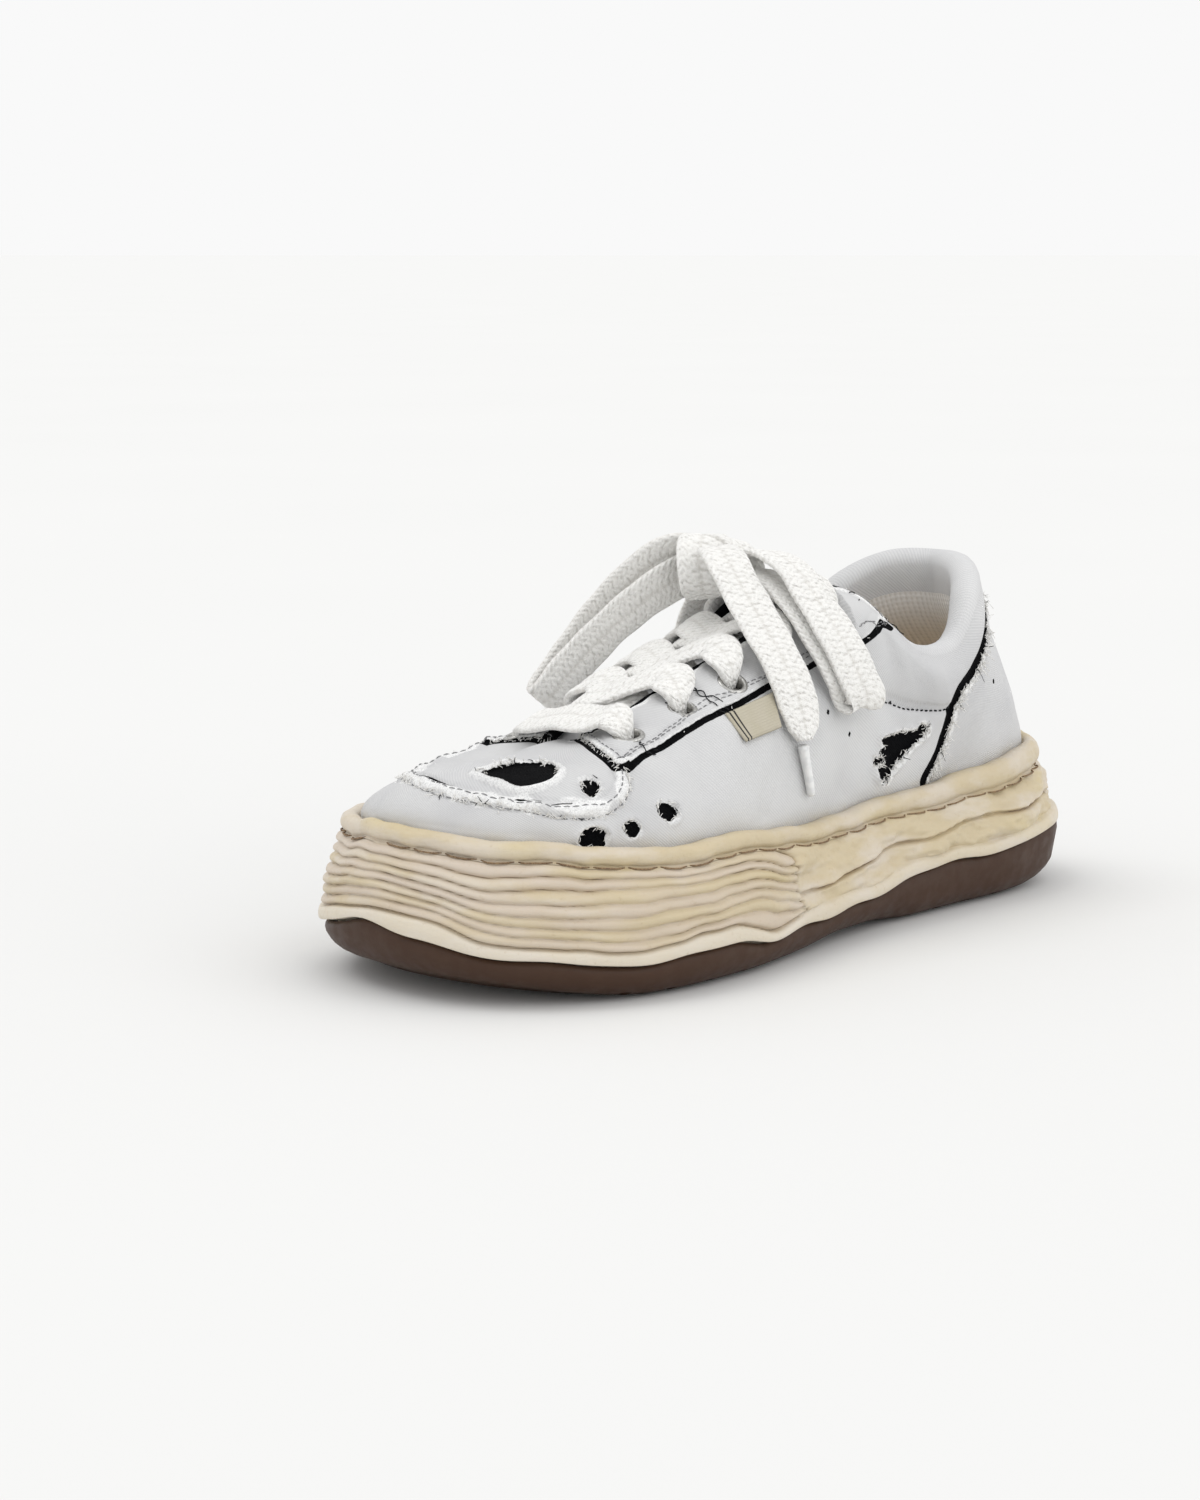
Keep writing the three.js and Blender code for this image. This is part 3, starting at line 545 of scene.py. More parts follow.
def ribbon(name, rows, acrossStart, acrossEnd, squeeze=None, seed=0, slim=1.0):
    # a flat braided band along a given route; squeeze lists [share of the length, share of the width]
    s = laceSettings
    steps = max(12, int(lengthOf(curveThrough(rows, 200)) / s["step"]))
    line = curveThrough(rows, steps)
    total = lengthOf(line)
    share = np.linspace(0, 1, steps)
    along = np.gradient(line, axis=0)
    along /= np.linalg.norm(along, axis=1, keepdims=True)
    across = np.array(acrossStart, float) * (1 - share[:, None]) + np.array(acrossEnd, float) * share[:, None]
    across -= along * np.sum(along * across, axis=1, keepdims=True)
    across /= np.linalg.norm(across, axis=1, keepdims=True)
    facing = np.cross(across, along)
    widths = np.interp(share, *zip(*(squeeze or [[0, 1], [1, 1]])))
    turn = np.linspace(0, 2 * math.pi, s["round"] + 1)
    half, thick = s["width"] / 2 * slim, s["thickness"] / 2
    flatX = np.sign(np.cos(turn)) * np.abs(np.cos(turn)) ** 0.8
    flatZ = np.sign(np.sin(turn)) * np.abs(np.sin(turn)) ** 0.62 * (0.85 + 0.15 * np.abs(flatX) ** 2)
    x = flatX[:, None] * half * widths[None]
    gathered = 1 + 0.9 * (1 - widths)[None]
    column = np.clip((flatX * 0.5 + 0.5) * s["columns"], 0, s["columns"] - 1e-6)
    inColumn = column - np.floor(column)
    lean = np.where(np.floor(column) % 2 == 0, inColumn, 1 - inColumn)
    phase = share[None] * total / s["braidPitch"] + lean[:, None] * 0.95
    crown = 0.35 + 0.65 * np.sin(math.pi * inColumn)[:, None] ** 0.5
    braid = np.abs(np.sin(math.pi * phase)) ** 0.7 * crown
    z = flatZ[:, None] * (thick * gathered + s["relief"] * (braid - 0.5))
    wander = 1 + 0.03 * np.sin(share * total / 7 + seed) + 0.02 * np.sin(share * total / 2.3 + seed)
    table = line[None] + across[None] * (x * wander[None])[..., None] + facing[None] * z[..., None]
    table += facing[None] * (0.28 * np.sin(share * total / 9 + seed * 2))[None, :, None]
    uv = np.stack(np.broadcast_arrays((flatX * half)[:, None], (share * total)[None]), -1)
    return meshFrom(name, table, [lace], uv=uv, values={"braid": braid}), line, total


bowSettings = {
    "loop_outer": [
        [-8, -0.5, 119.5], [-8.5, 8.5, 121.5], [-8.5, 20.5, 117.5], [-9, 29.5, 107.5], [-11.5, 37.5, 95.5],
        [-15.5, 42, 83.5], [-18, 43, 77.5], [-18.4, 41.4, 74.6], [-17, 39, 76.6], [-13.4, 38.3, 84],
        [-9.4, 34, 93.8], [-7, 26, 104.4], [-7, 16, 111.8], [-7.6, 7, 115], [-8, -0.5, 115],
    ],
    "loop_inner": [
        [-3, -17.8, 120], [4, -21.8, 120.5], [10.5, -28, 115.5], [15.5, -35, 107], [21, -40.5, 97.5],
        [27.5, -43.5, 88.5], [33, -45.5, 81.5], [38, -46.2, 75.5], [40, -45, 73.4], [39, -42.5, 75.5],
        [34.5, -39.5, 82], [27.5, -35.5, 90.5], [20.5, -30.5, 99], [12.5, -24.5, 107], [5, -20, 112],
        [-3, -17.8, 115],
    ],
    "end_outer": [
        [5.5, -0.5, 123.5], [9, 6, 121.8], [11, 15, 112.5], [11.8, 24.5, 102.3], [12, 32.3, 93.2],
        [11.2, 37.4, 84], [10.4, 40.4, 74.4], [10.4, 42, 66.5],
    ],
    "end_inner": [
        [-12, -16, 113], [-15.5, -23.5, 109], [-18, -31, 99], [-18, -35.4, 87], [-17, -37, 77],
        [-16, -37.6, 68],
    ],
    "across": {"loop_outer": ((0.95, -0.25, 0.1), (0.95, -0.25, 0.1)),
               "loop_inner": ((0.8, -0.1, 0.6), (0.8, -0.1, 0.6)),
               "end_outer": ((0.9, -0.4, -0.1), (0.95, -0.3, 0.1)), "end_inner": ((1, 0, 0), (1, 0, 0))},
    "endTaper": [[0, 0.85], [0.1, 1], [0.84, 1], [0.95, 0.7], [1, 0.28]],
    "aglets": {"outer": [[10.6, 41.7, 65.2], [8, 43.2, 49]],
               "inner": [[-15.8, -37.8, 66.7], [-14.5, -38.2, 50.4]]},
    "knotMiddle": [-2, -9, 117],
}


def aglet(name, ends):
    # a short tube of film rolled round the lace's tip, flared where it grips and slightly crimped
    start, end = np.array(ends, float)
    way = (end - start) / np.linalg.norm(end - start)
    side = np.cross(way, [0, 0, 1.0])
    side /= np.linalg.norm(side)
    other = np.cross(way, side)
    turn = np.linspace(0, 2 * math.pi, 21)
    at = np.linspace(0, 1, 26)
    radius = np.interp(at, [0, 0.04, 0.12, 0.5, 0.93, 1], [1.5, 2.15, 1.95, 1.75, 1.6, 1.15])
    radius = radius[None] * (1 + 0.05 * np.sin(3 * turn)[:, None])
    table = (start[None, None] + (end - start)[None, None] * at[None, :, None]
             + side * (radius * np.cos(turn)[:, None])[..., None] * 1.2
             + other * (radius * np.sin(turn)[:, None])[..., None] * 0.85)
    return meshFrom(name, table, [agletFilm])


def joined(name, pieces):
    bm = bmesh.new()
    for piece in pieces:
        bm.from_mesh(piece.data)
        bpy.data.objects.remove(piece)
    return shown(name, meshOf(name, bm, lace))


knotSettings = {"wraps": [
    [[-9, -8, 109], [-9, -1, 112], [-7, 1.5, 118], [-5, -2, 124], [-3, -9, 125.5], [-2, -16, 122],
     [-3, -19, 116],
     [-5, -15, 110.5]],
    [[-5, -14.9, 118], [0.7, -10.6, 126], [5.7, -7.1, 124.2], [8.6, -4.9, 118], [7.4, -4.6, 111.5],
     [2.8, -7.1, 107.5]],
]}


def makeKnot(s):
    parts = [ribbon("wrap_a", s["wraps"][0], (1, 0, 0.3), (1, 0, 0.2), seed=5, slim=0.85)[0],
             ribbon("wrap_b", s["wraps"][1], (0.7, -0.7, 0), (0.7, -0.7, 0), seed=6)[0]]
    middle, size = np.array(bowSettings["knotMiddle"], float), np.array([7, 7, 6])
    turn, rise = np.linspace(0, 2 * math.pi, 65), np.linspace(-math.pi / 2, math.pi / 2, 33)
    ball = np.stack([np.cos(turn)[:, None] * np.cos(rise)[None], np.sin(turn)[:, None] * np.cos(rise)[None],
                     np.broadcast_to(np.sin(rise)[None], (65, 33))], -1)
    table = middle + ball * size * (1 + 0.06 * ripples(ball * 8, 9, 61))[..., None]
    braid = 0.5 + 0.5 * np.sin(turn * 14)[:, None] * np.sin(rise * 12)[None]
    uv = np.stack(np.broadcast_arrays(turn[:, None] * 8, rise[None] * 8), -1)
    parts.append(meshFrom("core", table, [lace], values={"braid": braid}, uv=uv))
    return finished(joined("bow_knot", parts), "lace", "lace_knot")


def makeBow(s):
    strands = {}
    for seed, part in enumerate(("loop_outer", "loop_inner", "end_outer", "end_inner"), 1):
        taper = s["endTaper"] if part.startswith("end") else None
        strands[part] = ribbon(f"bow_{part}", s[part], *s["across"][part], taper, seed)
        finished(strands[part][0], "lace", f"lace_{part}")
    films = {side: finished(aglet(f"aglet_film_{side}", ends), "aglet", f"aglet_{side}")
             for side, ends in s["aglets"].items()}
    knot = makeKnot(knotSettings)
    print("bow:", ", ".join(f"{part} {round(strand[2])} mm" for part, strand in strands.items()))


makeBow(bowSettings)


# the last: plan and heights of the sole
soleSettings = {
    "length": 300, "width": 125, "round": 704,
    "outline": [
        [1, -0.1], [0.973, 0.29], [0.893, 0.6], [0.767, 0.83], [0.613, 0.96], [0.453, 1],
        [0.253, 0.944], [0.033, 0.84], [-0.2, 0.76], [-0.467, 0.72], [-0.7, 0.696], [-0.853, 0.59],
        [-0.953, 0.36], [-1, -0.016], [-0.953, -0.385], [-0.853, -0.59], [-0.7, -0.688], [-0.467, -0.704],
        [-0.2, -0.712], [0.033, -0.776], [0.253, -0.896], [0.453, -0.984], [0.613, -0.995], [0.767, -0.93],
        [0.893, -0.74], [0.973, -0.45],
    ],
    "cupEdge": [[0, 22.5], [0.05, 20], [0.1, 16.6], [0.2, 12.4], [0.3, 11.4], [0.355, 12.4], [0.405, 10.6],
                [0.46, 11],
                [0.52, 11.4], [0.6, 14.6], [0.66, 17.4], [0.74, 17.6], [0.82, 19.4], [0.9, 21.6], [1, 23]],
    "lipTop": [[0, 51], [0.12, 49.5], [0.22, 46.5], [0.34, 44], [0.46, 41.5], [0.58, 41.5], [0.72, 45],
               [0.86, 49.5], [1, 52]],
    "bedHeight": 31, "heelBedRise": 4, "upperInset": 12.75,
}


def plan(s):
    # the outline with its outward directions, and the share of the way from toe to heel at each place
    rows = [[x * s["length"] / 2, y * s["width"] / 2, 0] for x, y in s["outline"]]
    line = curveThrough(rows, s["round"] + 1, closed=True)
    core = line[:-1]
    reach = s["round"] // 64
    along = np.roll(core, -reach, axis=0) - np.roll(core, reach, axis=0)
    out = np.stack([along[:, 1], -along[:, 0], along[:, 0] * 0], 1)
    out /= np.linalg.norm(out, axis=1, keepdims=True)
    turn = np.linspace(0, 1, s["round"] + 1)
    return line, np.vstack([out, out[:1]]), turn, 1 - np.abs(2 * turn - 1)


outline, outward, turnAt, shareAt = plan(soleSettings)
cupEdge = between(soleSettings["cupEdge"], shareAt)[:, 0]
lipTop = between(soleSettings["lipTop"], shareAt)[:, 0]


def bed(x):
    return soleSettings["bedHeight"] + soleSettings["heelBedRise"] * (1 - smooth(-60, 30, x))


def underside(x):
    return 8 * smooth(88, 165, x) + 4.8 * (1 - smooth(-160, -108, x)) + 2.2 * smooth(-52, -22, x) * (
        1 - smooth(-8, 24, x))


def ring(inset, height):
    # one level: the outline moved in, at a height for each place
    place = outline - outward * np.broadcast_to(inset, shareAt.shape)[:, None]
    place[:, 2] = height(place[:, 0]) if callable(height) else height
    return place


def towardsMiddle(edge, share, height):
    place = edge * share
    place[:, 2] = height(place[:, 0]) if callable(height) else height
    return place


# outsole
outsoleSettings = {"sideInset": 1.4, "floor": 5.5, "wall": 3.6,
                   "grooves": [102, 86, 70, 54, 38, -62, -78, -94, -110],
                   "grooveWide": 3.2, "grooveDeep": 1.8}


def makeOutsole(s):
    side = s["sideInset"] - 2 * smooth(-105, -145, outline[:, 0])
    edge = cupEdge + 0.5 * ripples(outline, 30, 5)
    first = ring(side + 15, underside)
    levels = [towardsMiddle(first, share, underside) for share in (0, 0.25, 0.5, 0.75, 0.9)] + [first]
    base = underside(outline[:, 0])
    tall = np.clip((edge - base) / 15, 0.3, 1)
    levels += [ring(side + inset, base + up * tall)
               for inset, up in ((12, 0.1), (9, 0.6), (6.6, 1.6), (4.6, 3), (2.8, 5), (1.6, 7))]
    levels += [ring(side + 0.5 * (1 - t), edge - (3 + 3.2 * (1 - t)) * tall) for t in (0.4, 0.7, 1)]
    levels += [ring(side + 0.15, edge - 1.2), ring(side + 0.7, edge - 0.2), ring(side + 1.8, edge - 0.1),
               ring(side + s["wall"], edge - 0.7),
               ring(side + s["wall"], np.minimum(base + s["floor"] + 2, edge - 1.2)),
               ring(side + s["wall"] + 6, np.minimum(base + s["floor"], edge - 2.4))]
    last = levels[-1]
    levels += [towardsMiddle(last, share, lambda x: underside(x) + s["floor"]) for share in (0.7, 0.35, 0)]
    return meshFrom("outsole_rubber", np.stack(levels, 1), [rubber])


def grooveCutter(s, places):
    # wavy bars across the tread, joined as one cutting shape
    bm = bmesh.new()
    for x in places:
        made = bmesh.ops.create_cube(bm, size=1)["verts"]
        bmesh.ops.scale(bm, vec=(s["grooveWide"] * mm, 0.16, (s["grooveDeep"] * 2) * mm), verts=made)
        edges = list({e for v in made for e in v.link_edges if abs(e.verts[0].co.y - e.verts[1].co.y) > 0.1})
        bmesh.ops.subdivide_edges(bm, edges=edges, cuts=31)
        bmesh.ops.translate(bm, vec=(x * mm, 0, float(underside(x)) * mm),
                            verts=[v for v in bm.verts if not v.tag])
        for v in bm.verts:
            if not v.tag:
                v.co.x += 0.003 * math.sin((v.co.y + 0.07) / 0.07 * 2 * math.pi)
                v.tag = True
    return linked("tread_cutter", meshOf("tread_cutter", bm))


def cutAway(piece, cutter):
    cut = piece.modifiers.new("cut", "BOOLEAN")
    cut.operation = "DIFFERENCE"
    cut.solver = "MANIFOLD"
    cut.object = cutter
    mesh = appliedMesh(piece)
    piece.modifiers.clear()
    old = piece.data
    piece.data = mesh
    bpy.data.meshes.remove(old)
    bpy.data.objects.remove(cutter)


outsole = makeOutsole(outsoleSettings)
cutAway(outsole, grooveCutter(outsoleSettings, outsoleSettings["grooves"]))
finished(outsole, "outsole_rubber", "outsole")
print("outsole", len(outsole.data.polygons), "faces")


# midsole
midsoleSettings = {
    "lipInset": 6.4, "lipDrop": (6.2, 9.6), "flangeTall": 4.6, "ridges": 7, "ridgeDeep": 2.1, "stepX": 25,
    "bandTall": 11, "wallRows": 66, "stitchLong": 9.8, "stitchGap": 1.4,
}


def makeMidsole(s):
    side = outsoleSettings["sideInset"] + outsoleSettings["wall"] + 0.35
    low = cupEdge + 0.5 * ripples(outline, 30, 5) + 0.45
    x = outline[:, 0]
    lip = lipTop + 0.55 * ripples(outline, 34, 8) + 0.25 * ripples(outline, 13, 9) + 1.7 * bell(x - 45, 10)
    rows = []

    def level(place, groove=0.0, flange=0.0, tint=0.0):
        rows.append([place] + [np.broadcast_to(mark, shareAt.shape) for mark in (groove, flange, tint)])

    first = ring(side + 6, lambda x: underside(x) + 5.85)
    for share in (0, 0.3, 0.6, 0.85):
        level(towardsMiddle(first, share, lambda x: underside(x) + 5.85), flange=1)
    for place in (first, ring(side, np.minimum(underside(x) + 7.7, low - 1.6)), ring(side, low - 1.0),
                  ring(side - 0.3, low), ring(2.2, low + 0.1), ring(1.0, low + 0.35)):
        level(place, flange=1)
    lipDrop = s["lipDrop"][0] + (s["lipDrop"][1] - s["lipDrop"][0]) * smooth(0.5, 0.85, shareAt)
    top = lip - lipDrop
    endLean = 1.8 * smooth(95, 145, x) + 2.6 * smooth(-100, -148, x)  # the ends of the sole lean in
    for q in np.linspace(0.015, 1, s["wallRows"]):
        z = low + q * (top - low)
        rise = z - low
        flangeTall = s["flangeTall"] + 0.55 * ripples(outline, 38, 11) + 0.15 * ripples(outline, 14, 12)
        flange = 1 - smooth(flangeTall - 0.5, flangeTall + 0.5, rise)
        roundedFlange = np.sqrt(np.clip(1 - ((rise / flangeTall) * 1.7 - 0.75) ** 2, 0, 1))
        # ridges of the forefoot: ropes that wander a little, split by narrow creases
        inner = np.clip((rise - flangeTall) / (top - low - flangeTall), 0, 1)
        place = outline.copy()
        place[:, 2] = z * 2.2
        step = s["stepX"] + 9 * smooth(0.35, 1, inner) + 1.5 * ripples(place, 20, 28)
        wander = 0.2 * ripples(place, 75, 14) + 0.05 * ripples(place, 26, 15)
        swoop = 0.75 * bell(x - step, 9) - 0.5 * bell(x - step - 20, 11)
        swing = (wander + swoop) * np.minimum(1, inner * 5) * np.minimum(1, (1 - inner) * 5)
        phase = inner * s["ridges"] + swing
        inRidge = phase - np.floor(phase)
        rope = 1 - np.abs(2 * inRidge - 1) ** 2.6
        worn = 0.3 + 0.7 * smooth(-0.8, 0.7, ripples(place, 40, 27))
        crease = bell(np.minimum(inRidge, 1 - inRidge), 0.075) * worn
        ends = step + 3.4 * (0.45 - rope)
        front = np.sqrt(np.clip((x - ends) / 2.6, 0, 1))
        ropes = s["ridgeDeep"] * (rope - 1) * (0.6 + 0.4 * worn) + 1.1 + 0.35 * ripples(place, 22, 20)
        # the slab behind: lumpy, with one long crease over a lower band
        bandTall = s["bandTall"] + 1.6 * ripples(outline, 44, 17) * smooth(30, -20, x) - 2 * smooth(0, 30, x)
        overBand = rise - bandTall
        slab = 0.95 * ripples(place, 34, 18) + 0.55 * ripples(place, 12, 19) + 0.2 * ripples(place, 5.5, 30)
        bandCrease = bell(overBand, 0.55)
        bandSwell = 1.3 * bell(overBand + 4.5, 4.2) + 0.9 * smooth(0, 1.5, overBand)
        swell = np.interp(q, [0, 0.3, 0.75, 0.92, 1], [0, 0.5, 1.1, 0.7, 0])
        rear = slab + bandSwell - 1.8 * bandCrease - 1.0 + swell
        wall = np.where(flange > 0.5, 0, 1)
        stepCrease = bell(x - ends + 0.2, 0.7) * wall
        bulge = (ropes * front + rear * (1 - front)) * (1 - flange)
        bulge += 1.5 * roundedFlange * flange
        bulge -= 1.5 * stepCrease
        notch = 1.3 * bell(rise - flangeTall, 0.5) * (front + 0.2 * (1 - front))
        lean = np.interp(q, [0, 0.12, 0.5, 0.85, 1], [0.6, 0.7, 1.4, 3.6, 5.2])
        bandWorn = 0.35 + 0.65 * smooth(-0.6, 0.5, ripples(outline, 30, 29))
        # mark is painted shade along the rope creases, the band's crease and the step; with the notch over the
        # flange it becomes the groove value that the clay turns brown
        mark = np.maximum((crease * front + bandCrease * bandWorn * (1 - front)) * wall, 0.95 * stepCrease)
        level(ring(lean + q * endLean - bulge * 0.92 + notch, z),
              np.maximum(mark, 0.85 * bell(rise - flangeTall, 0.4) * front), flange * (0.6 + 0.4 * front),
              front * wall * (0.5 + 0.5 * np.sin(np.floor(phase) * 2.4 + 1.5 * ripples(outline, 50, 21))))
    for t in (0.25, 0.6, 1):  # the stitched furrow under the lip, with painted shade growing towards the lip
        level(ring(5.2 + endLean + 1.3 * math.sin(math.pi * t / 2), top + 0.5 * t), 0.15 + 0.3 * t)
    lumps = 0.4 * ripples(outline, 21, 23) + 0.22 * ripples(outline, 8, 24)
    middle, wide, tall = s["lipInset"] + 2.6, 3.5, (lipDrop - 0.6) / 2
    # the rounded lip; its lowest row carries a groove value as painted shade under the lip
    for degrees in np.linspace(-62, 92, 17):
        turn = math.radians(degrees)
        reach = wide * math.cos(turn) ** 0.8 if degrees < 90 else 0
        level(ring(middle + endLean * 0.7 - reach - lumps * math.cos(turn),
                   lip - tall + tall * math.sin(turn)),
              0.35 if degrees < -56 else 0)
    cup = s["lipInset"] + 6
    last = ring(cup, bed)
    for place in (ring(cup - 0.9, lip - 0.5), ring(cup, lip - 2.2), last):
        level(place)
    for share in (0.75, 0.5, 0.25, 0):
        level(towardsMiddle(last, share, bed))
    places, *marks = (np.stack(column, 1) for column in zip(*rows))
    values = dict(zip(("groove", "flange", "tint"), marks))
    stitchLine = ring(5.4 + endLean, top + 0.3)
    return meshFrom("midsole_foam", places, [clay], values=values), stitchLine


def alongLine(line, long, space, start=0.0):
    # splits a line into stitches: lists of places
    step = runOf(line)
    stitches = []
    at = start
    while at + long < step[-1]:
        marks = np.linspace(at, at + long, 5)
        stitches.append(np.stack([np.interp(marks, step, line[:, k]) for k in range(3)], 1))
        at += long + space
    return stitches


midsole, furrow = makeMidsole(midsoleSettings)
finished(midsole, "midsole_foam", "midsole")
print("midsole", len(midsole.data.polygons), "faces")


def makeSoleStitches(s):
    # waxed thread lying in the furrow, each stitch dipping in at both ends
    lines = []
    for stitch in alongLine(furrow, s["stitchLong"], s["stitchGap"]):
        middle = stitch.mean(0)
        out = np.array([middle[0], middle[1] * 1.6, 0])
        out /= np.linalg.norm(out)
        dip = np.array([-1.2, 0.25, 0.45, 0.25, -1.2])
        lines.append(stitch + out * dip[:, None])
    return finished(threads("midsole_stitches", lines, 0.27, [brownThread], sides=2), "lace")


makeSoleStitches(midsoleSettings)

# upper
upperSettings = {
    "opening": [
        [0, 76, 0, 70], [0.1, 75, 6, 70.5], [0.19, 69, 12, 74], [0.34, 37, 15, 86.5], [0.48, 2, 15.5, 98.5],
        [0.58, -26, 14.5, 108.5], [0.635, -37, 20, 105.5], [0.68, -45, 28.5, 96], [0.735, -57, 34.5, 86.5],
        [0.79, -72, 36, 88.5], [0.855, -87, 31.5, 102.5], [0.93, -102, 19, 111], [1, -111, 0, 112],
    ],
    "ribs": [
        [0, 12, 2.5, 40, 3.5], [0.12, 13, 2.5, 34, 4.5], [0.2, 16, 2.5, 26, 4.5], [0.3, 19, 2.5, 18, 6],
        [0.48, 24, 2, 17, 9], [0.6, 26, 2.5, 18, 13], [0.69, 20, 3, 9, 14], [0.76, 16, 2, 5, 14],
        [0.84, 16, 0.5, 4.5, 18], [0.92, 15, -2, 4, 20], [1, 14, -3, 3.5, 20],
    ],
    "innerFall": 4, "innerPull": 0.2, "lipCover": 1.5, "wall": 2.2, "collarPad": 6.8, "rows": 98,
}


def ribPlaces(s, v):
    # the canvas from outside: table[round, v], with v 0 at the lip, 1 at the opening, under 0 below the lip
    low = outline - outward * soleSettings["upperInset"]
    low[:, 2] = lipTop - s["lipCover"]
    x, y, z = between(s["opening"], shareAt, odd=(2,)).T
    rise, swell, reach, drop = between(s["ribs"], shareAt).T
    inner = turnAt > 0.5
    lean = np.where(inner, smooth(0, 0.16, shareAt) * (1 - smooth(0.45, 0.62, shareAt)), 0)
    fall = s["innerFall"] * lean
    top = np.stack([x, np.where(inner, -y, y) * (1 - s["innerPull"] * lean), z - fall], 1)
    up = np.array([0, 0, 1.0])
    a = low + outward * swell[:, None] + up * (rise - fall)[:, None]
    b = top + outward * reach[:, None] - up * (drop + fall)[:, None]
    t = np.clip(v, 0, None)[None, :, None]
    table = (low[:, None] * (1 - t) ** 3 + 3 * a[:, None] * t * (1 - t) ** 2 + 3 * b[:, None] * t**2 * (1 - t)
             + top[:, None] * t**3)
    sunk = np.clip(v, None, 0)[None] * (low[:, 2] - bed(low[:, 0]) - 0.35)[:, None]
    table[..., 2] += sunk
    return table


def surfacePlace(table, i, j):
    # a place between the rows and columns of a table
    i, j = np.asarray(i, float) % (len(table) - 1), np.clip(j, 0, table.shape[1] - 1.001)
    a, b = np.floor(i).astype(int), np.floor(j).astype(int)
    s, t = (i - a)[..., None], (j - b)[..., None]
    return ((table[a, b] * (1 - s) + table[a + 1, b] * s) * (1 - t)
            + (table[a, b + 1] * (1 - s) + table[a + 1, b + 1] * s) * t)


def nearestCell(table, place):
    gap = np.sum((table[:-1] - np.array(place, float)) ** 2, axis=-1)
    return np.unravel_index(np.argmin(gap), gap.shape)


def onTable(table, places, inner=False, count=None, closed=False):
    # a given line, laid on the table: its cells and its places, mirrored to the inner side if asked
    cells = np.array([nearestCell(table, p) for p in places], float)
    n = len(table) - 1
    if inner:
        cells[:, 0] = n - cells[:, 0]
    cells[:, 0] = np.rad2deg(np.unwrap(np.deg2rad(cells[:, 0] * 360 / n))) * n / 360
    rows = np.column_stack([cells, np.zeros(len(cells))])
    if len(rows) > 2 or closed:
        fine = curveThrough(rows, count or 90, closed)
    else:
        fine = evenly(rows, count or 90)
    return fine[:, :2], surfacePlace(table, fine[:, 0], fine[:, 1])


def signedBy(inside, far):
    # a distance to a line, under 0 inside it
    return np.where(inside, -far, far)


def distanceTo(table, line):
    # how far each place of the table is from a line
    best = np.full(table.shape[:2], 1e9)
    for a, b in zip(line, line[1:]):
        way = b - a
        t = np.clip(((table - a) @ way) / max(way @ way, 1e-9), 0, 1)
        best = np.minimum(best, np.sum((table - a - t[..., None] * way) ** 2, axis=-1))
    return np.sqrt(best)


def insideOf(shape, cells):
    # which cells of a table of the given shape lie inside a closed line of cells
    n = shape[0] - 1
    i, j = np.meshgrid(np.arange(shape[0], dtype=float), np.arange(shape[1], dtype=float), indexing="ij")
    inside = np.zeros(shape, bool)
    for shift in (-n, 0, n):
        odd = np.zeros(shape, bool)
        for (ax, ay), (bx, by) in zip(cells, np.roll(cells, -1, axis=0)):
            if ay == by:
                continue
            crosses = (ay > j) != (by > j)
            odd ^= crosses & (i + shift < (bx - ax) * (j - ay) / (by - ay) + ax)
        inside |= odd
    return inside
